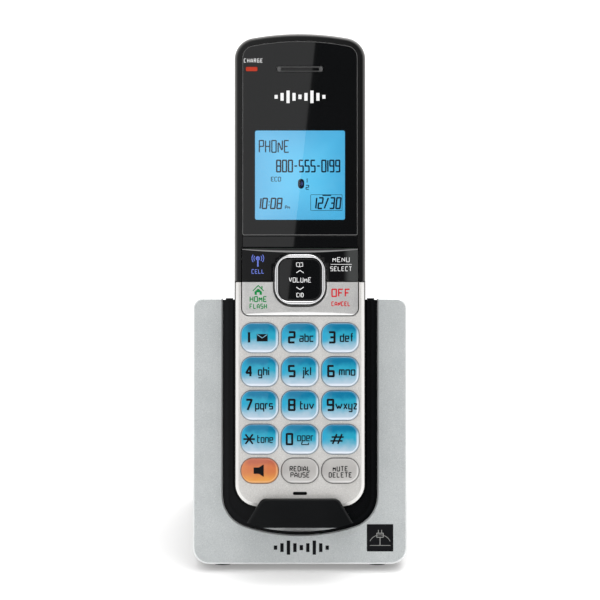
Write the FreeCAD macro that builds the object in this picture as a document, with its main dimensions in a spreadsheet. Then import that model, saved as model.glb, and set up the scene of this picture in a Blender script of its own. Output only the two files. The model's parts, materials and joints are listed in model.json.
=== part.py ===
import FreeCAD, Part
import math
import os
from types import SimpleNamespace

import Sketcher

# A cordless telephone: a slim handset that stands, leaning back, in the well of a small base.
#
# The row frame has +Z up and the front towards -Y, with the origin on the floor in the middle of the
# footprint.  Most pieces are drawn in the leaning frame instead, which has its origin at the seat, where the
# handset's bottom end stands: x to the right, up the handset, and out of its face.  A level is a distance out
# of the face, so the handset's face is level 0 and its back is a negative level.  The leaning frame's Y axis
# points inwards, which makes a level minus its y.

SIZES = {
    # how the handset stands
    "lean_angle": 20.0,
    "base_depth": 92.0,
    "seat_setback": 5.0,
    "plate_ground_gap": 2.67,
    "foot_height": 1.2,
    # the handset's outline and depth
    "handset_width": 48.0,
    "handset_length": 175.0,
    "handset_depth": 26.0,
    "top_crown": 97.0,
    "top_corner": 8.0,
    "bottom_crown": 80.0,
    "bottom_corner": 8.5,
    "parting_depth": 5.0,
    "seam_above_cluster_low": 12.3,
    "seam_gap": 0.4,
    # the back shell and what is cut into it
    "shell_wall": 1.6,
    "shell_floor": 3.4,
    "back_round": 6.0,
    "cover_low": 9.0,
    "cover_above_screws": 6.5,
    "cover_edge": 0.4,
    "cover_thickness": 1.8,
    "cover_play": 0.2,
    "cover_corner": 2.5,
    "grip_depth": 0.5,
    "grip_below_top": 12.0,
    "grip_end_round": 0.6,
    "ringer_below_ear": 20.0,
    "ringer_slot_pitch": 3.2,
    "ringer_slot_width": 1.3,
    # the two front frames
    "frame_wall": 1.2,
    "upper_face": 2.9,
    "upper_round": 1.4,
    "keypad_face": 1.8,
    "keypad_bevel": 1.1,
    "silver_inset": 0.475,
    # the window, the strip under it and what shows in the window
    "lens_margin": 2.95,
    "lens_gap": 0.35,
    "lens_top_margin": 2.8,
    "lens_thickness": 1.4,
    "lens_recess": 1.5,
    "lens_corner": 4.4,
    "lens_crown": 92.0,
    "lens_play": 0.15,
    "lens_bevel": 0.2,
    "strip_gap": 0.05,
    "strip_opening": 4.1,
    "screen_margin": 4.05,
    "screen_below_top": 51.9,
    "screen_play": 0.2,
    "screen_level": -1.6,
    "module_edge_across": 3.0,
    "module_edge_up": 4.0,
    "module_front": -3.0,
    "module_back": -4.2,
    "ear_below_top": 13.0,
    "ear_width": 17.3,
    "ear_opening": 2.2,
    "ear_slot_width": 14.0,
    "ear_slot_opening": 1.1,
    "light_margin": 1.25,
    "light_width": 4.2,
    "light_opening": 1.5,
    "small_play": 0.1,
    # the keys
    "key_margin": 2.6,
    "key_gap_across": 1.3,
    "key_gap_up": 1.68,
    "function_gap": 1.72,
    "function_above_mic": 8.3,
    "dial_key_height": 10.65,
    "function_key_height": 8.9,
    "key_corner": 4.0,
    "function_key_corner": 4.3,
    "key_proud": 1.0,
    "key_round": 0.9,
    "key_play": 0.35,
    "flange_reach": 0.5,
    "flange_corner": 2.5,
    "flange_thickness": 1.0,
    "flange_drop": 0.1,
    "cluster_margin": 2.85,
    "cluster_gap": 2.9,
    "cluster_height": 24.4,
    "cluster_corner": 2.6,
    "cluster_play": 0.4,
    "cluster_proud": 0.5,
    "cluster_bevel": 0.4,
    "cluster_flange": 0.35,
    "cluster_flange_drop": 0.6,
    "ring_width": 18.7,
    "ring_height": 18.5,
    "ring_above_seam": 0.8,
    "ring_corner": 6.5,
    "ring_band": 1.6,
    "ring_proud": 1.1,
    "ring_round": 0.5,
    "ring_play": 0.5,
    "pad_corner": 3.4,
    "pad_play": 0.15,
    "pad_proud": 0.6,
    "pad_pivot_radius": 1.0,
    "pad_pivot_length": 10.0,
    "rocker_pivot_radius": 0.7,
    "rocker_pivot_length": 1.2,
    "mic_height": 6.8,
    "mic_slot_width": 5.2,
    "mic_slot_opening": 1.2,
    # inside the handset
    "board_level": -5.4,
    "board_thickness": 1.0,
    "board_margin": 3.5,
    "board_low": 5.5,
    "board_below_ear": 12.0,
    "board_corner": 5.0,
    "membrane_thickness": 1.2,
    "membrane_margin": 2.7,
    "membrane_play": 0.35,
    "membrane_top_play": 0.7,
    "screw_edge": 0.7,
    "screw_above_strip_low": 2.85,
    "screw_shank": 1.0,
    "screw_head": 1.9,
    "screw_head_height": 1.6,
    "screw_play": 0.05,
    "boss_radius": 2.4,
    "boss_hole": 2.7,
    "mic_radius": 2.8,
    "mic_depth": 2.4,
    "earpiece_drop": 0.5,
    "earpiece_depth": 4.35,
    "magnet_radius": 4.3,
    "magnet_depth": 1.45,
    "ringer_radius": 10.5,
    "ringer_depth": 5.25,
    "shield_corner": 1.6,
    "shield_height": 2.4,
    "antenna_below_top": 3.0,
    "antenna_length": 25.0,
    "antenna_width": 4.0,
    "antenna_thickness": 0.5,
    "antenna_leg": 1.6,
    "antenna_leg_spacing": 17.0,
    "battery_width": 21.0,
    "battery_length": 44.5,
    "battery_depth": 10.5,
    "battery_low": 22.0,
    "battery_play": 1.5,
    "battery_cover_gap": 0.6,
    "cell_round": 4.95,
    "plug_above_battery": 9.0,
    "plug_width": 9.0,
    "plug_opening": 6.0,
    "plug_depth": 4.0,
    "rib_thickness": 1.4,
    "contact_across": 9.0,
    "contact_edge": 1.5,
    "contact_plate": 4.0,
    "contact_window": 4.4,
    "contact_plate_low": 1.2,
    "contact_plate_high": 3.0,
    "contact_strip": 0.8,
    # the base's faceplate and cradle
    "plate_side": 10.9,
    "plate_low": -19.2,
    "plate_high": 78.5,
    "plate_level": -12.0,
    "plate_thickness": 2.0,
    "plate_top_corner": 4.0,
    "plate_bottom_corner": 6.0,
    "plate_bevel": 0.5,
    "slab_thickness": 2.0,
    "slab_inset": 0.5,
    "rim_width": 3.8,
    "cutout_low": -8.5,
    "cutout_crown": 65.0,
    "cutout_corner": 12.0,
    "groove_width": 1.1,
    "bead_width": 1.1,
    "bead_height": 1.0,
    "rim_level": -12.4,
    "well_play": 0.6,
    "seat_play": 0.4,
    "well_back_play": 0.8,
    "tub_wall": 2.7,
    # the lip in front of the handset's bottom end
    "lip_top": 5.0,
    "lip_low": -5.7,
    "lip_crown": 56.5,
    "lip_top_margin": 10.0,
    "lip_foot_margin": 4.7,
    "lip_shoulder": -3.9,
    "lip_root": -7.4,
    "lip_root_margin": 5.4,
    "lip_inner_level": 0.8,
    "lip_thickness": 2.44,
    "lip_corner": 3.0,
    "lip_round": 1.0,
    # the sprung charging contacts in the seat
    "pin_width": 3.0,
    "pin_tip": 1.1,
    "pin_foot": -7.6,
    "pin_round": 1.0,
    "pin_slot": 4.6,
    "block_width": 28.0,
    "block_thickness": 3.0,
    "block_depth": 6.6,
    # the rear housing
    "rear_wall": 2.0,
    "rear_round": 4.5,
    "rear_behind_tub": 3.5,
    "rear_step_height": 26.0,
    "rear_toe": 16.0,
    "notch_play": 0.4,
    "notch_depth": 30.0,
    # the base's board and what stands on it
    "base_board_bottom": 7.0,
    "base_board_thickness": 1.6,
    "base_board_margin": 9.3,
    "base_board_setback": 41.0,
    "base_board_back_play": 2.5,
    "base_shield_forward": 6.0,
    "base_shield_height": 3.0,
    "mast_margin": 4.0,
    "mast_width": 4.0,
    "mast_thickness": 0.8,
    "mast_height": 30.0,
    "mast_arm": 16.0,
    "post_radius": 3.0,
    "post_inset": 6.0,
    "jack_mouth_inset": 0.5,
    "jack_play": 0.3,
    "power_across": 16.0,
    "power_width": 9.0,
    "power_height": 11.0,
    "power_length": 14.0,
    "power_bore": 2.8,
    "power_bore_length": 9.0,
    "power_pin": 1.0,
    "power_pin_length": 8.0,
    "line_across": -16.0,
    "line_width": 13.4,
    "line_height": 12.2,
    "line_length": 15.0,
    "line_opening_width": 10.2,
    "line_opening_height": 7.2,
    "line_opening_depth": 10.0,
    "line_floor": 3.4,
    "line_notch_width": 3.4,
    "line_notch_depth": 1.6,
    # the key on the base's side
    "side_key_from_back": 28.0,
    "side_key_height": 22.0,
    "side_key_length": 14.0,
    "side_key_width": 7.0,
    "side_key_corner": 2.5,
    "side_key_proud": 0.5,
    "side_key_play": 0.35,
    "side_flange_reach": 1.2,
    "side_flange_thickness": 1.0,
    # screws and feet under the base
    "base_screw_from_foot": 8.5,
    "base_screw_setback": 23.5,
    "base_screw_head": 2.9,
    "base_screw_head_height": 2.2,
    "base_screw_shank": 1.4,
    "base_screw_length": 12.0,
    "base_screw_play": 0.1,
    "base_boss_radius": 4.2,
    "bracket_width": 9.0,
    "bracket_low": -13.0,
    "bracket_reach": 4.5,
    "foot_radius": 5.0,
    "foot_side_margin": 10.8,
    "foot_front_setback": 22.0,
    "foot_back_setback": 8.0,
}


class Size:
    """A size as a number, together with the sheet formula that the model is bound to."""

    def __init__(self, number, formula):
        self.number = number
        self.formula = formula

    def __add__(self, other):
        other = as_size(other)
        return Size(self.number + other.number, f"({self.formula} + {other.formula})")

    def __sub__(self, other):
        other = as_size(other)
        return Size(self.number - other.number, f"({self.formula} - {other.formula})")

    def __mul__(self, other):
        other = as_size(other)
        return Size(self.number * other.number, f"({self.formula} * {other.formula})")

    def __truediv__(self, other):
        other = as_size(other)
        return Size(self.number / other.number, f"({self.formula} / {other.formula})")

    def __neg__(self):
        return Size(-self.number, f"(-1 * {self.formula})")


def as_size(value):
    """Take a plain number as a size too."""
    if isinstance(value, Size):
        return value
    return Size(float(value), str(float(value)))


doc = FreeCAD.newDocument("cordless_phone")
sheet = doc.addObject("Spreadsheet::Sheet", "Sizes")
mm = SimpleNamespace()
for row, (name, value) in enumerate(SIZES.items(), 1):
    sheet.set(f"A{row}", name)
    sheet.set(f"B{row}", str(value))
    sheet.setAlias(f"B{row}", name)
    setattr(mm, name, Size(value, f"Sizes.{name}"))
doc.recompute()

# what follows from the driving sizes
mm.lens_width = mm.handset_width - mm.lens_margin * 2
mm.screen_size = mm.lens_width - mm.screen_margin * 2
mm.module_width = mm.screen_size + mm.module_edge_across * 2
mm.module_height = mm.screen_size + mm.module_edge_up * 2
mm.light_across = mm.lens_width / 2 - mm.light_width / 2 - mm.light_margin
mm.key_width = (mm.handset_width - mm.key_margin * 2 - mm.key_gap_across * 2) / 3
mm.key_pitch_across = mm.key_width + mm.key_gap_across
mm.key_pitch_up = mm.dial_key_height + mm.key_gap_up
mm.function_row = mm.mic_height + mm.function_above_mic
mm.bottom_dial_row = mm.function_row + mm.function_key_height / 2 + mm.function_gap + mm.dial_key_height / 2
mm.cluster_width = mm.handset_width - mm.cluster_margin * 2
mm.cluster_low = mm.bottom_dial_row + mm.key_pitch_up * 3 + mm.dial_key_height / 2 + mm.cluster_gap
mm.cluster_high = mm.cluster_low + mm.cluster_height
mm.seam_height = mm.cluster_low + mm.seam_above_cluster_low
mm.ring_centre = mm.seam_height + mm.ring_above_seam
mm.strip_low = mm.cluster_high + mm.cluster_play + mm.strip_gap
mm.strip_high = mm.strip_low + mm.strip_opening
mm.lens_low = mm.strip_high + mm.lens_gap
mm.lens_high = mm.handset_length - mm.lens_top_margin
mm.screen_height = mm.handset_length - mm.screen_below_top
mm.ear_height = mm.handset_length - mm.ear_below_top
mm.board_width = mm.handset_width - mm.board_margin * 2
mm.board_high = mm.ear_height - mm.board_below_ear
mm.membrane_width = mm.handset_width - mm.membrane_margin * 2
mm.membrane_low = mm.function_row - mm.function_key_height / 2 - mm.membrane_play
mm.membrane_high = mm.cluster_high - mm.membrane_top_play
mm.cover_width = mm.handset_width - mm.back_round * 2 - mm.cover_edge * 2
mm.screw_across = mm.cover_width / 2 - mm.screw_head - mm.screw_edge
mm.screw_height = mm.strip_low + mm.screw_above_strip_low
mm.cover_high = mm.screw_height + mm.cover_above_screws
mm.ringer_height = mm.ear_height - mm.ringer_below_ear
mm.boss_foot = -mm.handset_depth / 2
mm.contact_level = mm.back_round + mm.contact_edge - mm.handset_depth
mm.cutout_width = mm.handset_width + mm.well_play * 2 + mm.rim_width * 2
mm.plate_width = mm.cutout_width + mm.plate_side * 2
mm.lip_top_width = mm.handset_width - mm.lip_top_margin * 2
mm.lip_foot_width = mm.handset_width - mm.lip_foot_margin * 2
mm.lip_root_width = mm.handset_width - mm.lip_root_margin * 2
mm.base_board_width = mm.plate_width - mm.base_board_margin * 2
mm.base_board_front = mm.base_board_setback - mm.base_depth / 2
mm.base_board_back = mm.base_depth / 2 - mm.base_board_back_play
mm.post_across = mm.base_board_width / 2 - mm.post_inset
mm.side_key_back = mm.base_depth / 2 - mm.side_key_from_back
mm.foot_across = mm.plate_width / 2 - mm.foot_side_margin
mm.foot_front = mm.base_depth / 2 - mm.foot_front_setback
mm.foot_back = mm.base_depth / 2 - mm.foot_back_setback
mm.base_screw_across = mm.foot_across - mm.base_screw_from_foot
mm.base_screw_forward = mm.base_depth / 2 - mm.base_screw_setback
mm.bracket_back = mm.base_screw_forward - mm.bracket_reach

lean_sine = Size(math.sin(math.radians(mm.lean_angle.number)), "sin(Sizes.lean_angle * 1 deg)")
lean_cosine = Size(math.cos(math.radians(mm.lean_angle.number)), "cos(Sizes.lean_angle * 1 deg)")
seat_y = mm.seat_setback - mm.base_depth / 2
seat_z = (mm.plate_ground_gap - mm.plate_low * lean_cosine
          - (mm.plate_level - mm.plate_thickness) * lean_sine)
sub_parts = []


def in_row(up, level):
    """The row's y and z of a place in the leaning frame."""
    up = as_size(up)
    level = as_size(level)
    return seat_y + up * lean_sine - level * lean_cosine, seat_z + up * lean_cosine + level * lean_sine


def upright(label):
    """A sub-part drawn in the row frame."""
    body = doc.addObject("PartDesign::Body", label)
    body.Label = label
    body.AllowCompound = True
    sub_parts.append(body)
    return body


def leaning(label):
    """A sub-part drawn in the leaning frame and placed in the row."""
    body = upright(label)
    seat = FreeCAD.Vector(0, seat_y.number, seat_z.number)
    body.Placement = FreeCAD.Placement(seat, FreeCAD.Rotation(FreeCAD.Vector(-1, 0, 0), mm.lean_angle.number))
    body.setExpression("Placement.Base.y", seat_y.formula)
    body.setExpression("Placement.Base.z", seat_z.formula)
    return body


class Drawing:
    """A sketch on one of its body's own planes, at an offset, with every dimension bound to the sheet."""

    def __init__(self, body, role, offset):
        plane = [feature for feature in body.Origin.OriginFeatures if feature.Role == role][0]
        self.body = body
        self.sketch = body.newObject("Sketcher::SketchObject", "Sketch")
        self.sketch.AttachmentSupport = [(plane, "")]
        self.sketch.MapMode = "FlatFace"
        self.sketch.setExpression("AttachmentOffset.Base.z", as_size(offset).formula)

    def bind(self, kind, geometry, *rest):
        """Add one dimension; the last value given is its size."""
        size = as_size(rest[-1])
        places = rest[:-1]
        index = self.sketch.addConstraint(Sketcher.Constraint(kind, geometry, *places, size.number))
        self.sketch.setExpression(f"Constraints[{index}]", size.formula)

    def join(self, first, second, smooth):
        """Join one piece's end to the next piece's start."""
        kind = "Tangent" if smooth else "Coincident"
        self.sketch.addConstraint(Sketcher.Constraint(kind, first, 2, second, 1))

    def polygon(self, corners):
        """A closed outline of straight lines through the given corners."""
        spots = [FreeCAD.Vector(across.number, up.number, 0) for across, up in corners]
        lines = []
        for start, end in zip(spots, spots[1:] + spots[:1]):
            lines.append(self.sketch.addGeometry(Part.LineSegment(start, end)))
        for line, after in zip(lines, lines[1:] + lines[:1]):
            self.join(line, after, smooth=False)
        for line, (across, up) in zip(lines, corners):
            self.bind("DistanceX", line, 1, across)
            self.bind("DistanceY", line, 1, up)
        return self

    def circle(self, across, up, radius):
        across = as_size(across)
        up = as_size(up)
        centre = FreeCAD.Vector(across.number, up.number, 0)
        ring = self.sketch.addGeometry(Part.Circle(centre, FreeCAD.Vector(0, 0, 1), radius.number))
        self.bind("Radius", ring, radius)
        self.bind("DistanceX", ring, 3, across)
        self.bind("DistanceY", ring, 3, up)
        return self

    def end_angle(self, half, corner, crown):
        """Where an end meets its right-hand corner, and how deep the corner's centre lies below that end."""
        reach = half - corner
        if crown is None:
            return math.pi / 2, corner
        rise = math.sqrt((crown - corner) ** 2 - reach ** 2)
        return math.atan2(rise, reach), crown - rise

    def outline(self, shape):
        """Straight sides with rounded corners, closed at each end by a straight line or by a wide arc."""
        half = shape.half.number
        across = shape.across.number
        arcs = []
        ends = []
        for end, side in ((shape.high, 1), (shape.low, -1)):
            corner = end.corner.number if end.corner else 0.0
            crown = end.crown.number if end.crown else None
            angle, drop = self.end_angle(half, corner, crown)
            ends.append((end.at.number, side, corner, crown, angle, end.at.number - side * drop))
        (high, _, _, _, _, high_centre), (low, _, _, _, _, low_centre) = ends

        def line(x1, y1, x2, y2):
            spots = FreeCAD.Vector(across + x1, y1, 0), FreeCAD.Vector(across + x2, y2, 0)
            arcs.append((self.sketch.addGeometry(Part.LineSegment(*spots)), "line"))

        def arc(x, y, radius, start, end, kind):
            ring = Part.Circle(FreeCAD.Vector(across + x, y, 0), FreeCAD.Vector(0, 0, 1), radius)
            arcs.append((self.sketch.addGeometry(Part.ArcOfCircle(ring, start, end)), kind))

        line(half, low_centre, half, high_centre)
        right = arcs[-1][0]
        bounds = []
        for at, side, corner, crown, angle, centre in ends:
            turn = 0.0 if side > 0 else math.pi
            if corner:
                arc(side * (half - corner), centre, corner, turn, turn + angle, "corner")
            if crown:
                arc(0, at - side * crown, crown, turn + angle, turn + math.pi - angle, "crown")
            else:
                line(side * (half - corner), at, -side * (half - corner), at)
            bounds.append(arcs[-1][0])
            if corner:
                arc(-side * (half - corner), centre, corner, turn + math.pi - angle, turn + math.pi, "corner")
            if side > 0:
                line(-half, high_centre, -half, low_centre)
                left = arcs[-1][0]
        for (first, kind), (second, next_kind) in zip(arcs, arcs[1:] + arcs[:1]):
            self.join(first, second, smooth="corner" in (kind, next_kind))
        for side_line, reach in ((right, shape.half), (left, -shape.half)):
            self.sketch.addConstraint(Sketcher.Constraint("Vertical", side_line))
            self.bind("DistanceX", side_line, 1, shape.across + reach)
        for bound, end, side in zip(bounds, (shape.high, shape.low), (1, -1)):
            if end.crown:
                self.bind("Radius", bound, end.crown)
                self.bind("DistanceX", bound, 3, shape.across)
                self.bind("DistanceY", bound, 3, end.at - end.crown * side)
            else:
                self.sketch.addConstraint(Sketcher.Constraint("Horizontal", bound))
                self.bind("DistanceY", bound, 1, end.at)
        corners = [index for index, kind in arcs if kind == "corner"]
        radii = [end.corner for end in (shape.high, shape.low) if end.corner for _ in range(2)]
        for corner, radius in zip(corners, radii):
            self.bind("Radius", corner, radius)
        return self


def end(at, corner=None, crown=None):
    """One end of an outline: how far up it is, its corner radius and the radius of its crown."""
    return SimpleNamespace(at=as_size(at), corner=corner, crown=crown)


def shape(width, low, high, across=0.0):
    """An outline that is straight at its sides, between two ends."""
    return SimpleNamespace(half=as_size(width) / 2, low=low, high=high, across=as_size(across))


def inset(outer, by, low_by=None, high_by=None):
    """The same outline drawn further in by a wall; an end may move by its own amount."""
    def moved(old, step, side):
        corner = old.corner - by if old.corner else None
        crown = old.crown - by if old.crown else None
        return end(old.at + as_size(step) * side, corner, crown)
    low = moved(outer.low, by if low_by is None else low_by, 1)
    high = moved(outer.high, by if high_by is None else high_by, -1)
    return SimpleNamespace(half=outer.half - by, low=low, high=high, across=outer.across)


def box_shape(across, up, width, height, corner=None):
    """A rectangle by its centre, with one corner radius all round."""
    across = as_size(across)
    up = as_size(up)
    height = as_size(height)
    return shape(width, end(up - height / 2, corner), end(up + height / 2, corner), across)


def faced(body, level):
    """A sketch parallel to the handset's face: a pad grows outwards from it and a pocket cuts inwards."""
    return Drawing(body, "XZ_Plane", level)


def sided(body, across):
    """A sketch seen from the side: a pad grows to the right from it and a pocket cuts to the left."""
    return Drawing(body, "YZ_Plane", across)


def floored(body, up):
    """A sketch seen from above: a pad grows upwards from it and a pocket cuts downwards."""
    return Drawing(body, "XY_Plane", up)


def pad(drawing, length):
    feature = drawing.body.newObject("PartDesign::Pad", "Pad")
    feature.Profile = drawing.sketch
    feature.setExpression("Length", as_size(length).formula)
    doc.recompute()
    return feature


def pocket(drawing, depth):
    feature = drawing.body.newObject("PartDesign::Pocket", "Pocket")
    feature.Profile = drawing.sketch
    feature.setExpression("Length", as_size(depth).formula)
    before = drawing.body.Shape.Volume
    doc.recompute()
    if drawing.body.Shape.Volume > before - 1e-6:
        raise ValueError(f"{drawing.body.Label}: {feature.Name} cuts nothing")
    return feature


def dress(body, kind, edges, size):
    """Round or bevel some of the edges of what the body is so far."""
    base = body.Tip
    feature = body.newObject(f"PartDesign::{kind}", kind)
    feature.Base = (base, edges)
    feature.setExpression("Radius" if kind == "Fillet" else "Size", size.formula)
    doc.recompute()
    return feature


def edges_where(body, test):
    """The names of the body's edges whose box passes a test."""
    return [f"Edge{index}" for index, edge in enumerate(body.Tip.Shape.Edges, 1) if test(edge.BoundBox)]


def face_edges(body, level, keep=lambda box: True):
    """The edges that lie at one level, facing the viewer."""
    flat = -as_size(level).number
    near = 1e-3

    def lies_flat(box):
        return abs(box.YMin - flat) < near and abs(box.YMax - flat) < near

    return edges_where(body, lambda box: lies_flat(box) and keep(box))


# ---- outlines and levels that several pieces share ----

handset_outline = shape(mm.handset_width,
                        end(0, mm.bottom_corner, mm.bottom_crown),
                        end(mm.handset_length, mm.top_corner, mm.top_crown))
back_level = -mm.handset_depth
parting_level = -mm.parting_depth
cavity_level = mm.shell_floor - mm.handset_depth
cover_floor_level = mm.cover_thickness - mm.handset_depth
half_seam = mm.seam_gap / 2
board_back_level = mm.board_level - mm.board_thickness
flange_top_level = -mm.keypad_face - mm.flange_drop
flange_foot_level = flange_top_level - mm.flange_thickness
cluster_outline = shape(mm.cluster_width, end(mm.cluster_low, mm.cluster_corner), end(mm.cluster_high))
ring_outline = box_shape(0, mm.ring_centre, mm.ring_width, mm.ring_height, mm.ring_corner)
ring_opening = box_shape(0, mm.ring_centre, mm.ring_width - mm.ring_band * 2,
                         mm.ring_height - mm.ring_band * 2, mm.pad_corner)
window_recess_high = end(mm.lens_high + mm.lens_play, mm.lens_corner + mm.lens_play,
                         mm.lens_crown + mm.lens_play)
ear_outline = box_shape(0, mm.ear_height, mm.ear_width, mm.ear_opening, mm.ear_opening / 2 - 0.2)
light_outline = box_shape(-mm.light_across, mm.ear_height, mm.light_width, mm.light_opening,
                          mm.light_opening / 4)
beyond = as_size(1)


def grown(outer, by):
    """The same outline drawn further out by a clearance."""
    return inset(outer, -as_size(by))


# ---- the handset ----

def make_back_shell():
    """A deep tray with a rounded back, a shallow bay for the battery cover and a well for the battery."""
    body = leaning("back_shell")
    pad(faced(body, back_level).outline(handset_outline), mm.handset_depth - mm.parting_depth)
    dress(body, "Fillet", face_edges(body, back_level), mm.back_round)
    cavity = inset(handset_outline, mm.shell_wall)
    pocket(faced(body, parting_level).outline(cavity), cavity_level * -1 - mm.parting_depth)
    for side in (-1, 1):
        boss = faced(body, cavity_level).circle(mm.screw_across * side, mm.screw_height, mm.boss_radius + 0.8)
        pad(boss, mm.boss_foot - cavity_level - mm.small_play)
    well = shape(mm.battery_width + mm.battery_play * 2,
                 end(mm.battery_low - mm.battery_play),
                 end(mm.battery_low + mm.battery_length + mm.battery_play))
    ribs = faced(body, cavity_level).outline(grown(well, mm.rib_thickness)).outline(well)
    pad(ribs, mm.battery_depth - beyond)
    bay = shape(mm.cover_width + mm.cover_play * 2,
                end(-beyond - mm.cover_play),
                end(mm.cover_high + mm.cover_play, mm.cover_corner))
    pocket(faced(body, cover_floor_level).outline(bay), mm.cover_thickness + beyond)
    pocket(faced(body, cavity_level).outline(well), mm.shell_floor)
    for side in (-1, 1):
        across = mm.screw_across * side
        bore = faced(body, mm.boss_foot).circle(across, mm.screw_height, mm.screw_shank + mm.screw_play * 2)
        pocket(bore, mm.handset_depth)
        seat = faced(body, cover_floor_level + mm.screw_head_height + mm.small_play * 2)
        pocket(seat.circle(across, mm.screw_height, mm.screw_head + mm.small_play), mm.shell_floor + beyond)
        window = floored(body, mm.shell_wall * 2)
        window.outline(box_shape(mm.contact_across * side, -mm.contact_level,
                                 mm.contact_window, mm.contact_window))
        pocket(window, mm.shell_wall * 2 + beyond)
    slots = faced(body, cavity_level + beyond)
    for step in (-2, -1, 0, 1, 2):
        height = mm.ringer_height + mm.ringer_slot_pitch * step
        length = mm.ringer_slot_pitch * (6 - abs(step))
        slots.outline(box_shape(0, height, length, mm.ringer_slot_width, mm.ringer_slot_width / 2 - 0.05))
    pocket(slots, mm.shell_floor + beyond * 2)


def make_upper_front_frame():
    """The black front half: a recess for the window, holes for what shows there, and two screw bosses."""
    body = leaning("upper_front_frame")
    low = end(mm.seam_height + half_seam)
    outer = SimpleNamespace(half=handset_outline.half, low=low, high=handset_outline.high, across=as_size(0))
    pad(faced(body, parting_level).outline(outer), mm.parting_depth)
    above_seam = low.at.number + 0.01
    dress(body, "Fillet", face_edges(body, 0, lambda box: box.ZMax > above_seam), mm.upper_round)
    cavity = inset(outer, mm.frame_wall, low_by=-beyond)
    pocket(faced(body, -mm.upper_face).outline(cavity), mm.parting_depth)
    key_bay = shape(cavity.half * 2, end(mm.cluster_low), end(mm.cluster_high + mm.cluster_play))
    pocket(faced(body, -mm.keypad_face).outline(key_bay), mm.parting_depth)
    for side in (-1, 1):
        across = mm.screw_across * side
        pad(faced(body, mm.boss_foot).circle(across, mm.screw_height, mm.boss_radius),
            -mm.boss_foot - mm.upper_face)
        bore = faced(body, -mm.parting_depth).circle(across, mm.screw_height, mm.screw_shank + mm.screw_play)
        pocket(bore, mm.handset_depth)
    key_opening = shape(mm.cluster_width + mm.cluster_play * 2,
                        end(mm.cluster_low),
                        end(mm.cluster_high + mm.cluster_play))
    pocket(faced(body, beyond).outline(key_opening), mm.parting_depth + beyond)
    recess = shape(mm.lens_width + mm.lens_play * 2, end(mm.cluster_high + mm.cluster_play - 0.01),
                   window_recess_high)
    pocket(faced(body, beyond).outline(recess), mm.lens_recess + beyond)
    screen_room = mm.screen_size + mm.screen_play * 2
    screen = box_shape(0, mm.screen_height, screen_room, screen_room)
    pocket(faced(body, 0).outline(screen), mm.parting_depth)
    pocket(faced(body, 0).outline(grown(ear_outline, mm.small_play)), mm.parting_depth)
    pocket(faced(body, 0).outline(grown(light_outline, mm.small_play)), mm.parting_depth)


def dial_keys():
    """Each dial key's name, column and row, counted from the middle column and the bottom dial row."""
    names = (("star", "zero", "hash"), ("seven", "eight", "nine"),
             ("four", "five", "six"), ("one", "two", "three"))
    for row, trio in enumerate(names):
        for column, name in zip((-1, 0, 1), trio):
            yield name, column, row


def dial_key_shape(column, row):
    return box_shape(mm.key_pitch_across * column, mm.bottom_dial_row + mm.key_pitch_up * row,
                     mm.key_width, mm.dial_key_height, mm.key_corner)


def function_key_shape(column):
    return box_shape(mm.key_pitch_across * column, mm.function_row,
                     mm.key_width, mm.function_key_height, mm.function_key_corner)


def make_keypad_frame():
    """The silver front half, with an opening for every key and for the microphone."""
    body = leaning("keypad_frame")
    face = inset(handset_outline, mm.silver_inset)
    face.high = end(mm.seam_height - half_seam)
    pad(faced(body, parting_level).outline(face), mm.parting_depth)
    below_seam = face.high.at.number - 0.01
    dress(body, "Chamfer", face_edges(body, 0, lambda box: box.ZMin < below_seam), mm.keypad_bevel)
    cavity = inset(face, mm.frame_wall, high_by=-beyond)
    pocket(faced(body, -mm.keypad_face).outline(cavity), mm.parting_depth)
    rows = [[function_key_shape(column) for column in (-1, 0, 1)]]
    for row in range(4):
        rows.append([dial_key_shape(column, row) for column in (-1, 0, 1)])
    for keys in rows:
        openings = faced(body, beyond)
        for key in keys:
            openings.outline(grown(key, mm.key_play))
        pocket(openings, mm.parting_depth)
    cluster = grown(cluster_outline, mm.cluster_play)
    pocket(faced(body, beyond).outline(cluster), mm.parting_depth)
    slot = box_shape(0, mm.mic_height, mm.mic_slot_width, mm.mic_slot_opening, mm.mic_slot_opening / 2 - 0.05)
    pocket(faced(body, beyond).outline(slot), mm.parting_depth)


def make_window_pieces():
    """The window, the strip under it, the earpiece's surround and the charging light."""
    lens = leaning("display_lens")
    outer = shape(mm.lens_width, end(mm.lens_low), end(mm.lens_high, mm.lens_corner, mm.lens_crown))
    foot = -mm.lens_recess
    pad(faced(lens, foot).outline(outer), mm.lens_thickness)
    face = foot + mm.lens_thickness
    dress(lens, "Chamfer", face_edges(lens, face), mm.lens_bevel)
    pocket(faced(lens, beyond).outline(grown(ear_outline, mm.small_play)), mm.lens_recess + beyond * 2)
    pocket(faced(lens, beyond).outline(grown(light_outline, mm.small_play)), mm.lens_recess + beyond * 2)

    strip = leaning("trim_bar")
    strip_outline = shape(mm.lens_width, end(mm.strip_low), end(mm.strip_high))
    pad(faced(strip, foot).outline(strip_outline), mm.lens_thickness)
    dress(strip, "Chamfer", face_edges(strip, face), mm.lens_bevel)

    surround = leaning("earpiece_surround")
    slot = box_shape(0, mm.ear_height, mm.ear_slot_width, mm.ear_slot_opening, mm.ear_slot_opening / 2 - 0.05)
    pad(faced(surround, -mm.upper_face).outline(ear_outline).outline(slot), mm.upper_face - mm.small_play)

    light = leaning("charge_light")
    pad(faced(light, -mm.upper_face).outline(light_outline), mm.upper_face - mm.small_play * 1.5)


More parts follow.
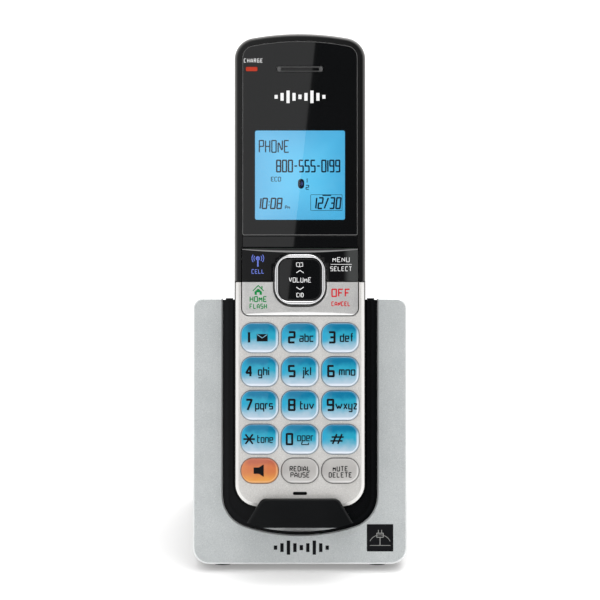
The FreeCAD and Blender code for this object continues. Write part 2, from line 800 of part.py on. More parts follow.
def make_display():
    """The liquid-crystal module with its raised glass, and the light guide behind it."""
    module = leaning("display_module")
    frame = box_shape(0, mm.screen_height, mm.module_width, mm.module_height)
    pad(faced(module, mm.module_back).outline(frame), mm.module_front - mm.module_back)
    glass = box_shape(0, mm.screen_height, mm.screen_size, mm.screen_size)
    pad(faced(module, mm.module_front).outline(glass), mm.screen_level - mm.module_front)
    guide = leaning("display_light_guide")
    pad(faced(guide, mm.board_level).outline(frame), mm.module_back - mm.board_level)


def make_key(name, outer):
    """A domed cap that stands proud of the frame, on a wider flange that the frame holds down."""
    body = leaning(name)
    pad(faced(body, flange_top_level).outline(outer), mm.key_proud - flange_top_level)
    dress(body, "Fillet", face_edges(body, mm.key_proud), mm.key_round)
    flange = box_shape(outer.across, (outer.low.at + outer.high.at) / 2,
                       outer.half * 2 + mm.flange_reach * 2,
                       outer.high.at - outer.low.at + mm.flange_reach * 2, mm.flange_corner)
    pad(faced(body, flange_foot_level).outline(flange), mm.flange_thickness)


def make_cluster_keys():
    """Two rocking keys, one above and one below the seam, that wrap round the navigation ring.

    Each rocks from side to side on a short round pivot under its narrow middle.
    """
    ring_gap = grown(ring_outline, mm.ring_play)
    upper_half = end(mm.seam_height + half_seam), cluster_outline.high
    lower_half = cluster_outline.low, end(mm.seam_height - half_seam)
    upper_middle = (cluster_outline.high.at + ring_gap.high.at) / 2
    lower_middle = (cluster_outline.low.at + ring_gap.low.at) / 2
    for name, (low, high), middle in (("cell_menu_key", upper_half, upper_middle),
                                      ("home_off_key", lower_half, lower_middle)):
        body = leaning(name)
        outer = SimpleNamespace(half=cluster_outline.half, low=low, high=high, across=as_size(0))
        flange_top = -mm.keypad_face - mm.cluster_flange_drop
        pad(faced(body, flange_top).outline(outer), mm.cluster_proud - flange_top)
        dress(body, "Chamfer", face_edges(body, mm.cluster_proud), mm.cluster_bevel)
        flange_width = mm.cluster_width + (mm.cluster_play + mm.cluster_flange) * 2
        flange_foot = flange_top - mm.flange_thickness
        flange = shape(flange_width, end(low.at), end(high.at))
        pad(faced(body, flange_foot).outline(flange), mm.flange_thickness)
        pocket(faced(body, beyond).outline(ring_gap), mm.parting_depth)
        pivot = floored(body, middle - mm.rocker_pivot_length / 2)
        pad(pivot.circle(0, -flange_foot, mm.rocker_pivot_radius), mm.rocker_pivot_length)


def make_navigation_key():
    """The navigation key: a black pad on a flange that rocks on a round pivot, framed by a chromed ring."""
    centre = leaning("nav_pad")
    pad(faced(centre, flange_foot_level).outline(ring_outline), mm.flange_thickness)
    pad(faced(centre, flange_top_level).outline(inset(ring_opening, mm.pad_play)),
        mm.pad_proud - flange_top_level)
    dress(centre, "Fillet", face_edges(centre, mm.pad_proud), mm.pad_proud / 2)
    pivot = sided(centre, mm.pad_pivot_length * -0.5)
    pad(pivot.circle(-flange_foot_level, mm.ring_centre, mm.pad_pivot_radius), mm.pad_pivot_length)

    ring = leaning("nav_ring")
    pad(faced(ring, flange_top_level).outline(ring_outline), mm.ring_proud - flange_top_level)
    dress(ring, "Fillet", face_edges(ring, mm.ring_proud), mm.ring_round)
    pocket(faced(ring, mm.ring_proud + beyond).outline(ring_opening), mm.parting_depth)


def make_handset_inside():
    """The keypad sheet, the circuit board and what is soldered to it."""
    board = leaning("handset_circuit_board")
    pad(faced(board, board_back_level).outline(
        shape(mm.board_width, end(mm.board_low, mm.board_corner), end(mm.board_high))), mm.board_thickness)
    for side in (-1, 1):
        hole = faced(board, mm.board_level)
        pocket(hole.circle(mm.screw_across * side, mm.screw_height, mm.boss_hole), mm.board_thickness)

    membrane = leaning("keypad_membrane")
    pad(faced(membrane, mm.board_level).outline(
        shape(mm.membrane_width, end(mm.membrane_low), end(mm.membrane_high))), mm.membrane_thickness)

    microphone = leaning("microphone")
    pad(faced(microphone, mm.board_level).circle(0, mm.mic_height, mm.mic_radius), mm.mic_depth)

    earpiece = leaning("earpiece_speaker")
    basket_level = -mm.upper_face - mm.earpiece_depth
    pad(faced(earpiece, basket_level).circle(0, mm.ear_height - mm.earpiece_drop, mm.ear_width / 2),
        mm.earpiece_depth - mm.small_play)
    pad(faced(earpiece, basket_level - mm.magnet_depth).circle(
        0, mm.ear_height - mm.earpiece_drop, mm.magnet_radius), mm.magnet_depth)

    ringer = leaning("ringer_speaker")
    pad(faced(ringer, cavity_level + mm.small_play).circle(0, mm.ringer_height, mm.ringer_radius),
        mm.ringer_depth)

    shield = leaning("handset_radio_shield")
    can = box_shape(0, mm.screen_height, mm.board_width / 2, mm.module_height / 2, mm.shield_corner)
    pad(faced(shield, board_back_level - mm.shield_height).outline(can), mm.shield_height)

    antenna = leaning("handset_antenna")
    strip_height = mm.board_high - mm.antenna_below_top
    arm_level = board_back_level - mm.antenna_leg
    arm = box_shape(0, strip_height, mm.antenna_length, mm.antenna_width)
    pad(faced(antenna, arm_level).outline(arm), mm.antenna_thickness)
    legs = faced(antenna, arm_level)
    for side in (-1, 1):
        legs.outline(box_shape(mm.antenna_leg_spacing / 2 * side, strip_height,
                               mm.antenna_width / 2, mm.antenna_width / 2))
    pad(legs, mm.antenna_leg)


def make_battery():
    """Two cells in one wrap, and the plug that joins their lead to the board."""
    pack = leaning("battery_pack")
    foot = cover_floor_level + mm.battery_cover_gap
    cells = shape(mm.battery_width, end(mm.battery_low), end(mm.battery_low + mm.battery_length))
    pad(faced(pack, foot).outline(cells), mm.battery_depth)
    long_edge = mm.battery_length.number - 0.01
    sides = edges_where(pack, lambda box: box.ZLength > long_edge)
    dress(pack, "Fillet", sides, mm.cell_round)
    plug = leaning("battery_connector")
    block_height = mm.battery_low + mm.battery_length + mm.plug_above_battery
    block = box_shape(0, block_height, mm.plug_width, mm.plug_opening)
    pad(faced(plug, board_back_level - mm.plug_depth).outline(block), mm.plug_depth)


def make_battery_cover():
    """A flat cover that slides down the handset's back, with three finger grooves."""
    body = leaning("battery_cover")
    outer = shape(mm.cover_width, end(mm.cover_low, mm.cover_corner - 1), end(mm.cover_high, mm.cover_corner))
    pad(faced(body, back_level).outline(outer), mm.cover_thickness - mm.small_play)
    for step in (0, 1, 2):
        groove = faced(body, back_level + mm.grip_depth)
        height = mm.cover_high - mm.grip_below_top - mm.ringer_slot_pitch * step
        groove.outline(box_shape(0, height, mm.cover_width / 2, mm.ringer_slot_width, mm.grip_end_round))
        pocket(groove, mm.grip_depth + beyond)


def make_handset_contacts():
    """Two plated strips: each shows through the bottom end and runs inside to the board."""
    body = leaning("handset_contacts")
    plate_top = mm.contact_plate_high
    strip_foot = plate_top - mm.contact_strip / 2
    for side in (-1, 1):
        across = mm.contact_across * side
        plate = floored(body, mm.contact_plate_low)
        plate.outline(box_shape(across, -mm.contact_level, mm.contact_plate, mm.contact_plate))
        pad(plate, plate_top - mm.contact_plate_low)
        strip = floored(body, strip_foot)
        inner = -board_back_level
        outer = -mm.contact_level + mm.contact_plate / 2
        strip.outline(shape(mm.contact_plate / 2, end(inner), end(outer), across))
        pad(strip, mm.contact_strip)
        tail = floored(body, strip_foot)
        tail.outline(shape(mm.contact_plate / 2, end(inner), end(inner + mm.antenna_thickness), across))
        pad(tail, mm.board_low)


def make_handset_screws():
    """Two small screws, hidden under the battery cover."""
    body = leaning("handset_screws")
    head_level = cover_floor_level + mm.small_play
    for side in (-1, 1):
        across = mm.screw_across * side
        pad(faced(body, head_level).circle(across, mm.screw_height, mm.screw_head), mm.screw_head_height)
        pad(faced(body, head_level).circle(across, mm.screw_height, mm.screw_shank),
            mm.parting_depth * -1 - beyond - head_level)
        slot = faced(body, head_level + mm.screw_head_height / 2)
        slot.outline(box_shape(across, mm.screw_height, mm.screw_head, mm.screw_shank / 2))
        pocket(slot, mm.screw_head_height)


# ---- the base ----

plate_outline = shape(mm.plate_width,
                      end(mm.plate_low, mm.plate_bottom_corner),
                      end(mm.plate_high, mm.plate_top_corner))
plate_back_level = mm.plate_level - mm.plate_thickness
slab_back_level = plate_back_level - mm.slab_thickness
well_back_level = back_level - mm.well_back_play
tub_back_level = well_back_level - mm.tub_wall
rear_top_level = tub_back_level - mm.rear_behind_tub
cutout = shape(mm.cutout_width,
               end(mm.cutout_low, mm.cutout_corner, mm.cutout_crown),
               end(mm.plate_high + beyond))
well_outline = shape(mm.handset_width + mm.well_play * 2,
                     end(-mm.seat_play, mm.bottom_corner + mm.well_play, mm.bottom_crown + mm.well_play),
                     end(mm.plate_high + beyond))


def make_base_faceplate():
    """The silver plate with its tall cut-out for the handset's well."""
    body = leaning("base_faceplate")
    pad(faced(body, plate_back_level).outline(plate_outline), mm.plate_thickness)
    pocket(faced(body, mm.plate_level + beyond).outline(cutout), mm.plate_thickness + beyond * 2)
    dress(body, "Chamfer", face_edges(body, mm.plate_level), mm.plate_bevel)


def make_cradle_housing():
    """The black moulding behind the plate: a slab, a deep tub with a beaded rim, and two screw brackets."""
    body = leaning("cradle_housing")
    pad(faced(body, slab_back_level).outline(inset(plate_outline, mm.slab_inset)), mm.slab_thickness)
    tub = inset(cutout, mm.groove_width, high_by=beyond)
    pad(faced(body, tub_back_level).outline(tub), mm.rim_level - tub_back_level)
    bead = faced(body, mm.rim_level).outline(tub).outline(inset(tub, mm.bead_width, high_by=beyond))
    pad(bead, mm.bead_height)
    low = in_row(mm.bracket_low, slab_back_level)
    high = in_row(0, slab_back_level)
    corners = [low, high, (-mm.bracket_back, high[1]), (-mm.bracket_back, low[1])]
    for side in (-1, 1):
        across = mm.base_screw_across * side - mm.bracket_width / 2
        pad(sided(body, across).polygon([in_lean(y, z) for y, z in corners]), mm.bracket_width)
    pocket(faced(body, beyond).outline(well_outline), beyond - well_back_level)
    for side in (-1, 1):
        slot = floored(body, beyond * 4)
        slot.outline(box_shape(mm.contact_across * side, -mm.contact_level, mm.pin_slot, mm.pin_slot))
        pocket(slot, beyond * 20)
    return body


def in_lean(y, z):
    """A place in the row, as y and z of the leaning frame."""
    back = y - seat_y
    up = z - seat_z
    return back * lean_cosine - up * lean_sine, back * lean_sine + up * lean_cosine


def bore_brackets(body):
    """Give the cradle's brackets their upright screw bores."""
    result = body
    for side, name in ((-1, "left"), (1, "right")):
        drill = doc.addObject("Part::Cylinder", f"{name}_bracket_drill")
        drill.setExpression("Radius", (mm.base_screw_shank + mm.base_screw_play).formula)
        drill.setExpression("Height", (mm.base_screw_length + mm.base_screw_play).formula)
        drill.Placement.Base = FreeCAD.Vector(0, 0, 0)
        drill.setExpression("Placement.Base.x", (mm.base_screw_across * side).formula)
        drill.setExpression("Placement.Base.y", (-mm.base_screw_forward).formula)
        drill.setExpression("Placement.Base.z", base_screw_seat.formula)
        cut = doc.addObject("Part::Cut", f"{name}_bracket_cut")
        cut.Base = result
        cut.Tool = drill
        result = cut
    return result


base_screw_seat = mm.foot_height + mm.base_screw_head_height + mm.small_play * 4


def make_cradle_lip():
    """The glossy lip: a shelf under the handset's end with a low wall in front of it."""
    body = leaning("cradle_lip")
    front = mm.lip_inner_level + mm.lip_thickness
    root_level = mm.rim_level + mm.bead_height
    corners = [(mm.lip_top_width / 2, mm.lip_top), (-mm.lip_top_width / 2, mm.lip_top),
               (-mm.lip_foot_width / 2, mm.lip_shoulder), (-mm.lip_root_width / 2, mm.lip_root),
               (mm.lip_root_width / 2, mm.lip_root), (mm.lip_foot_width / 2, mm.lip_shoulder)]
    pad(faced(body, root_level).polygon(corners), front - root_level)
    top = mm.lip_top.number - 0.01
    upper = edges_where(body, lambda box: box.ZMin > top and box.YLength > 1 and box.XLength < 0.1)
    dress(body, "Fillet", upper, mm.lip_corner)
    arc_height = mm.lip_root + mm.small_play + mm.lip_crown
    beneath = faced(body, front + beyond).circle(0, arc_height, mm.lip_crown)
    pocket(beneath.circle(0, arc_height, mm.lip_crown * 1.5), mm.handset_depth)
    clear = shape(mm.plate_width, end(well_outline.low.at), end(well_outline.high.at))
    pocket(faced(body, mm.lip_inner_level).outline(clear), mm.lip_inner_level - mm.rim_level)
    slope = [(-front, mm.lip_low), (-root_level, mm.lip_root),
             (-root_level, mm.lip_root - beyond), (-front, mm.lip_root - beyond)]
    pocket(sided(body, mm.lip_foot_width).polygon(slope), mm.lip_foot_width * 2)
    shoulder = mm.lip_shoulder.number + 0.1
    dress(body, "Fillet", face_edges(body, front, lambda box: box.ZMax > shoulder), mm.lip_round)
    peg = shape(mm.lip_top_width, end(mm.lip_low + beyond), end(well_outline.low.at - mm.small_play))
    pad(faced(body, mm.rim_level).outline(peg), mm.bead_height)


def make_charging_contacts():
    """A block under the seat and the two sprung contacts that rise out of it through the seat's slots."""
    block = leaning("contact_block")
    top = mm.pin_foot - mm.small_play
    foot = floored(block, top - mm.block_thickness)
    foot.outline(box_shape(0, -mm.contact_level + 1, mm.block_width, mm.block_depth))
    pad(foot, mm.block_thickness)
    for name, side in (("charge_contact_left", -1), ("charge_contact_right", 1)):
        pin = leaning(name)
        across = mm.contact_across * side
        column = box_shape(across, -mm.contact_level, mm.pin_width, mm.pin_width)
        pad(floored(pin, mm.pin_foot).outline(column),
            mm.pin_tip - mm.pin_foot)
        tip = mm.pin_tip.number - 0.01
        dress(pin, "Fillet", edges_where(pin, lambda box: box.ZMin > tip and box.XLength > 1), mm.pin_round)


def make_rear_housing():
    """The wedge behind the cradle, hollow and open towards it, with a notch, sockets and a key hole."""
    body = upright("rear_housing")
    half_depth = mm.base_depth / 2
    low = mm.plate_low + mm.slab_inset
    high = mm.plate_high - mm.slab_inset
    toe = mm.rear_toe - half_depth
    wall = mm.rear_wall
    outer = [in_row(low, slab_back_level), (toe, mm.foot_height), (half_depth, mm.foot_height),
             (half_depth, mm.rear_step_height), in_row(high, rear_top_level), in_row(high, slab_back_level)]
    width = mm.plate_width - mm.slab_inset * 2
    pad(sided(body, -width / 2).polygon(outer), width)
    side_x = width.number / 2
    front = outer[0][0].number + 0.5, outer[5][0].number + 0.5
    span = outer[5][1].number - outer[0][1].number

    def rounded(box):
        on_side = abs(abs(box.XMin) - side_x) < 1e-3 and box.XLength < 1e-3
        return on_side and not (box.ZLength > span - 0.5 and box.YMin < front[0] and box.YMax < front[1])
    dress(body, "Fillet", edges_where(body, rounded), mm.rear_round)
    ahead = slab_back_level + beyond
    inner = [in_row(low + wall, ahead), (toe + wall, mm.foot_height + wall),
             (half_depth - wall, mm.foot_height + wall), (half_depth - wall, mm.rear_step_height - wall / 4),
             in_row(high - wall, rear_top_level + wall), in_row(high - wall, ahead)]
    pocket(sided(body, width / 2 - wall).polygon(inner), width - wall * 2)
    notch_width = mm.cutout_width - mm.groove_width * 2 + mm.notch_play * 2
    notch_back = tub_back_level - mm.notch_play
    notch = [in_row(high - mm.notch_depth, ahead), in_row(high - mm.notch_depth, notch_back),
             in_row(high + beyond, notch_back), in_row(high + beyond, ahead)]
    pocket(sided(body, notch_width / 2).polygon(notch), notch_width)

    floor_top = mm.foot_height + wall
    posts = floored(body, floor_top)
    for side in (-1, 1):
        posts.circle(mm.post_across * side, mm.base_board_front + mm.post_inset, mm.post_radius)
        posts.circle(mm.post_across * side, mm.base_board_back - mm.post_inset, mm.post_radius)
    pad(posts, mm.base_board_bottom - floor_top)
    bracket_foot = in_row(mm.bracket_low, slab_back_level)[1]
    for side in (-1, 1):
        across = mm.base_screw_across * side
        boss = floored(body, floor_top).circle(across, -mm.base_screw_forward, mm.base_boss_radius)
        pad(boss, bracket_foot - floor_top - mm.small_play)
        seat = floored(body, base_screw_seat)
        pocket(seat.circle(across, -mm.base_screw_forward, mm.base_screw_head + mm.small_play * 2),
               mm.foot_height + mm.base_screw_head_height)
        bore = floored(body, bracket_foot)
        bore_radius = mm.base_screw_shank + mm.base_screw_play
        pocket(bore.circle(across, -mm.base_screw_forward, bore_radius), bracket_foot)

    board_top = mm.base_board_bottom + mm.base_board_thickness
    play = mm.jack_play
    for across, socket_width, height in ((mm.power_across, mm.power_width, mm.power_height),
                                         (mm.line_across, mm.line_width, mm.line_height)):
        opening = [(half_depth - wall - beyond, board_top - play), (half_depth + beyond, board_top - play),
                   (half_depth + beyond, board_top + height + play),
                   (half_depth - wall - beyond, board_top + height + play)]
        pocket(sided(body, across + socket_width / 2 + play).polygon(opening), socket_width + play * 2)
    hole = sided(body, width / 2 + beyond)
    hole.outline(grown(side_key_shape, mm.side_key_play))
    pocket(hole, wall + beyond * 2)


side_key_shape = box_shape(mm.side_key_back, mm.side_key_height, mm.side_key_length, mm.side_key_width,
                           mm.side_key_corner)


def make_find_handset_key():
    """The small key on the right-hand side of the base that makes the handset ring."""
    body = upright("find_handset_key")
    side = mm.plate_width / 2 - mm.slab_inset
    flange_face = side - mm.rear_wall - mm.small_play
    pad(sided(body, flange_face).outline(side_key_shape), side + mm.side_key_proud - flange_face)
    tip = (side + mm.side_key_proud).number - 0.01
    dress(body, "Fillet", edges_where(body, lambda box: box.XMin > tip), mm.side_key_proud / 2)
    flange = sided(body, flange_face - mm.side_flange_thickness)
    pad(flange.outline(grown(side_key_shape, mm.side_flange_reach)), mm.side_flange_thickness)


def make_base_board():
    """The base's circuit board, its radio shield and its antenna."""
    board_top = mm.base_board_bottom + mm.base_board_thickness
    board = upright("base_circuit_board")
    outline = shape(mm.base_board_width, end(mm.base_board_front), end(mm.base_board_back))
    pad(floored(board, mm.base_board_bottom).outline(outline), mm.base_board_thickness)

    middle = (mm.base_board_front + mm.base_board_back) / 2 - mm.base_shield_forward
    shield = upright("base_radio_shield")
    can = box_shape(0, middle, mm.base_board_width / 3, mm.base_board_width / 3, mm.shield_corner)
    pad(floored(shield, board_top).outline(can), mm.base_shield_height)

    antenna = upright("base_antenna")
    edge = mm.base_board_width / -2 + mm.mast_margin
    mast = shape(mm.mast_width, end(middle), end(middle + mm.mast_thickness), edge + mm.mast_width / 2)
    pad(floored(antenna, board_top).outline(mast), mm.mast_height)
    arm = shape(mm.mast_arm, end(middle), end(middle + mm.mast_thickness), edge + mm.mast_arm / 2)
    pad(floored(antenna, board_top + mm.mast_height - mm.mast_width).outline(arm), mm.mast_width)


def make_jacks():
    """The power socket with its centre pin, and the telephone line socket."""
    board_top = mm.base_board_bottom + mm.base_board_thickness
    mouth = mm.base_depth / 2 - mm.jack_mouth_inset

    power = upright("power_jack")
    pad(floored(power, board_top).outline(
        shape(mm.power_width, end(mouth - mm.power_length), end(mouth), mm.power_across)), mm.power_height)
    bore_height = board_top + mm.power_height / 2
    pocket(faced(power, mm.power_bore_length - mouth).circle(mm.power_across, bore_height, mm.power_bore),
           mm.power_bore_length + beyond)
    pin = faced(power, mm.power_bore_length - mm.power_pin_length - mouth)
    pad(pin.circle(mm.power_across, bore_height, mm.power_pin), mm.power_pin_length)

    line = upright("line_jack")
    pad(floored(line, board_top).outline(
        shape(mm.line_width, end(mouth - mm.line_length), end(mouth), mm.line_across)), mm.line_height)
    low = board_top + mm.line_floor
    opening = shape(mm.line_opening_width, end(low), end(low + mm.line_opening_height), mm.line_across)
    pocket(faced(line, mm.line_opening_depth - mouth).outline(opening), mm.line_opening_depth + beyond)
    notch = shape(mm.line_notch_width, end(low - mm.line_notch_depth), end(low + beyond), mm.line_across)
    pocket(faced(line, mm.line_opening_depth - mouth).outline(notch), mm.line_opening_depth + beyond)


def make_base_screws():
    """Two screws from below that hold the rear housing to the cradle."""
    body = upright("base_screws")
    head_low = base_screw_seat - mm.base_screw_head_height
    for side in (-1, 1):
        across = mm.base_screw_across * side
        pad(floored(body, head_low).circle(across, -mm.base_screw_forward, mm.base_screw_head),
            mm.base_screw_head_height)
        pad(floored(body, head_low).circle(across, -mm.base_screw_forward, mm.base_screw_shank),
            mm.base_screw_length)


def make_base_feet():
    """Four rubber pads."""
    body = upright("base_feet")
    for side in (-1, 1):
        for back in (-mm.foot_front, mm.foot_back):
            pad(floored(body, 0).circle(mm.foot_across * side, back, mm.foot_radius), mm.foot_height)


# ---- everything, in the order in which it is assembled ----

make_back_shell()
make_upper_front_frame()
make_keypad_frame()
make_window_pieces()
make_display()
for key_name, key_column, key_row in dial_keys():
    make_key(f"key_{key_name}", dial_key_shape(key_column, key_row))
for key_name, key_column in (("speaker", -1), ("redial_pause", 0), ("mute_delete", 1)):
    make_key(f"key_{key_name}", function_key_shape(key_column))
make_cluster_keys()
make_navigation_key()
make_handset_inside()
make_battery()
make_battery_cover()
make_handset_contacts()
make_handset_screws()
make_base_faceplate()
cradle = make_cradle_housing()
make_cradle_lip()
make_charging_contacts()
make_rear_housing()
make_find_handset_key()
make_base_board()
make_jacks()
make_base_screws()
make_base_feet()
doc.recompute()
bored_cradle = bore_brackets(cradle)
doc.recompute()

for item in doc.Objects:
    if "Invalid" in item.State or "Error" in item.State:
        owners = [user.Label for user in item.InList]
        raise ValueError(f"{item.Label} of {owners} could not be built: {item.State}")
finished = {item.Label: item for item in sub_parts}
finished["cradle_housing"] = bored_cradle
for label, item in finished.items():
    if item.Shape.isNull() or not item.Shape.isValid():
        raise ValueError(f"{label} has no valid shape")

os.makedirs("parts", exist_ok=True)
for label, item in finished.items():
    item.Shape.exportStep(f"parts/{label}.step")
print(f"{len(finished)} sub-parts written")
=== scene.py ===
import json
import math

import bmesh
import bpy
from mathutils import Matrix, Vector


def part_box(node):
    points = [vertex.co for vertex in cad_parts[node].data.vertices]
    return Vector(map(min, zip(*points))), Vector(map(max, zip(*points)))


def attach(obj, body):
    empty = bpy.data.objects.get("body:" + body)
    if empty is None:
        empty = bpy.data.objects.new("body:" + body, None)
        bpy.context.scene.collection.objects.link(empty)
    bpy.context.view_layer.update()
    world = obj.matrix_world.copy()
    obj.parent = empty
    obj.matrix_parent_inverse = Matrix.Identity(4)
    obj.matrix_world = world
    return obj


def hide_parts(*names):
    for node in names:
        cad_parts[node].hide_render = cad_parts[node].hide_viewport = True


# A cordless telephone standing in its base.  Places are given in the leaning frame: across, up the handset and
# out of its face, in millimetres, with its origin where the middle of the handset's bottom end meets its face.

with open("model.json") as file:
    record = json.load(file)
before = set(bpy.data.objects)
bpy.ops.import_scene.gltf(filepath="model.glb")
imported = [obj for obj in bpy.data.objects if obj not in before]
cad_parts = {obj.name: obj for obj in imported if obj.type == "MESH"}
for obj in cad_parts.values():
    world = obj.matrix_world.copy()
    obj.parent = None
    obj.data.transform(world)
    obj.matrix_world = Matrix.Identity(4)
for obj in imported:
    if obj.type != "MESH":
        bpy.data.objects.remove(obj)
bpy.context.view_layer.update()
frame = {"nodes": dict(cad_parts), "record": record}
nodes = frame["nodes"]

LEAN = math.radians(20)
UP = Vector((0, math.sin(LEAN), math.cos(LEAN)))
OUT = Vector((0, -math.cos(LEAN), math.sin(LEAN)))
MILLIMETRE = 0.001
# the rocking keys: what their flanges reach past their faces, and the depth of their scooped ends
ROCKER_GAP = 0.75
SCOOP_EDGE = 0.35
SCOOP_RISE = 1.0


def spread(name, direction):
    """How far a node reaches along a direction, lowest and highest, in millimetres."""
    along = [vertex.co.dot(direction) for vertex in nodes[name].data.vertices]
    return min(along) / MILLIMETRE, max(along) / MILLIMETRE


SEAT = UP * spread("back_shell", UP)[0] + OUT * spread("upper_front_frame", OUT)[1]
SEAT_HEIGHT = SEAT.dot(UP)
SEAT_LEVEL = SEAT.dot(OUT)


class Extent:
    """The room that a node takes up in the leaning frame."""

    def __init__(self, name):
        low, high = spread(name, Vector((1, 0, 0)))
        self.right = high
        self.low, self.high = (along - SEAT_HEIGHT for along in spread(name, UP))
        self.back, self.front = (along - SEAT_LEVEL for along in spread(name, OUT))
        self.across = (low + high) / 2
        self.up = (self.low + self.high) / 2
        self.width = high - low
        self.height = self.high - self.low


def place(across, up, level):
    """A point of the leaning frame in the row frame, in metres."""
    return (SEAT + Vector((across, 0, 0)) + UP * up + OUT * level) * MILLIMETRE


# ---- shared shader groups ----

def shader_group(name, inputs, outputs):
    """A group with named inputs, whose defaults say what they are, and named outputs."""
    tree = bpy.data.node_groups.new(name, "ShaderNodeTree")
    for label, value in inputs.items():
        kind = "Float" if isinstance(value, float) else "Color" if value and len(value) == 4 else "Vector"
        socket = tree.interface.new_socket(label, in_out="INPUT", socket_type="NodeSocket" + kind)
        if value is not None:
            socket.default_value = value
    for label, kind in outputs.items():
        tree.interface.new_socket(label, in_out="OUTPUT", socket_type="NodeSocket" + kind)
    return tree, tree.nodes.new("NodeGroupInput").outputs, tree.nodes.new("NodeGroupOutput").inputs


def set_sockets(node, given):
    """Link or set a node's inputs, given by name with underscores for spaces."""
    for label, value in given.items():
        socket = node.inputs[label.replace("_", " ")]
        if isinstance(value, bpy.types.NodeSocket):
            node.id_data.links.new(value, socket)
        elif isinstance(value, tuple):
            socket.default_value = (*value, 1)[:len(socket.default_value)]
        else:
            socket.default_value = value
    return node


def add_node(tree, kind, **given):
    return set_sockets(tree.nodes.new(kind), given)


def math_node(operation, first, second=None, clamp=False):
    tree = next(value.id_data for value in (first, second) if isinstance(value, bpy.types.NodeSocket))
    node = tree.nodes.new("ShaderNodeMath")
    node.operation = operation
    node.use_clamp = clamp
    for socket, value in zip(node.inputs, (first, second)):
        if isinstance(value, bpy.types.NodeSocket):
            tree.links.new(value, socket)
        elif value is not None:
            socket.default_value = value
    return node.outputs[0]


def times(first, second, clamp=False):
    return math_node("MULTIPLY", first, second, clamp)


def inverse(value, clamp=False):
    """One less a value."""
    return math_node("SUBTRACT", 1.0, value, clamp)


def ramp_between(value, low, high):
    """0 below low, 1 above high, and smooth between them."""
    node = add_node(value.id_data, "ShaderNodeMapRange", Value=value, From_Min=low, From_Max=high)
    node.interpolation_type = "SMOOTHSTEP"
    return node.outputs["Result"]


def mix_colour(factor, first, second):
    node = factor.id_data.nodes.new("ShaderNodeMix")
    node.data_type = "RGBA"
    node.id_data.links.new(factor, node.inputs[0])
    for socket, value in ((node.inputs[6], first), (node.inputs[7], second)):
        if isinstance(value, tuple):
            socket.default_value = (*value, 1)
        else:
            node.id_data.links.new(value, socket)
    return node.outputs[2]


def noise(position, scale, detail=2.0, roughness=0.5):
    node = add_node(position.id_data, "ShaderNodeTexNoise", Vector=position, Scale=scale, Detail=detail,
                    Roughness=roughness)
    return node.outputs["Fac"]


def facing_share(direction, towards):
    """The cosine between a direction and another one."""
    node = direction.id_data.nodes.new("ShaderNodeVectorMath")
    node.operation = "DOT_PRODUCT"
    node.id_data.links.new(direction, node.inputs[0])
    if isinstance(towards, tuple):
        node.inputs[1].default_value = towards
    else:
        node.id_data.links.new(towards, node.inputs[1])
    return node.outputs["Value"]


def make_moulded_grain():
    """The fine spark-eroded texture of a moulded part, with soft patches from handling."""
    tree, given, made = shader_group(
        "Moulded grain", {"Position": None, "Grain size": 0.3, "Roughness": 0.4, "Patchiness": 0.08},
        {"Height": "Float", "Roughness": "Float", "Patches": "Float"})
    fineness = math_node("DIVIDE", 1000.0, given["Grain size"])
    tree.links.new(noise(given["Position"], fineness, 3.0), made["Height"])
    patches = noise(given["Position"], 55.0, 4.0, 0.6)
    tree.links.new(patches, made["Patches"])
    swing = times(times(math_node("SUBTRACT", patches, 0.5), given["Patchiness"]), 2.0)
    tree.links.new(math_node("ADD", given["Roughness"], swing, clamp=True), made["Roughness"])
    return tree


def make_flake_paint():
    """Silver paint: pale and dark flakes over a base colour that drifts a little."""
    tree, given, made = shader_group(
        "Flake paint", {"Position": None, "Flake size": 0.35, "Base": (0.6, 0.6, 0.6, 1),
                        "Bright flake": (0.8, 0.8, 0.8, 1), "Dark flake": (0.4, 0.4, 0.4, 1),
                        "Drift": (0.6, 0.6, 0.6, 1)}, {"Colour": "Color", "Height": "Float"})
    cells = tree.nodes.new("ShaderNodeTexVoronoi")
    tree.links.new(given["Position"], cells.inputs["Vector"])
    tree.links.new(math_node("DIVIDE", 1000.0, given["Flake size"]), cells.inputs["Scale"])
    parts = tree.nodes.new("ShaderNodeSeparateColor")
    tree.links.new(cells.outputs["Color"], parts.inputs[0])
    sparkle = ramp_between(parts.outputs[0], 0.80, 1.0)
    shade = ramp_between(parts.outputs[1], 0.72, 1.0)
    drift = ramp_between(noise(given["Position"], 90.0, 3.0), 0.35, 0.7)
    base = mix_colour(drift, given["Base"], given["Drift"])
    shaded = mix_colour(times(shade, 0.5), base, given["Dark flake"])
    tree.links.new(mix_colour(times(sparkle, 0.6), shaded,
                              given["Bright flake"]), made["Colour"])
    tree.links.new(parts.outputs[2], made["Height"])
    return tree


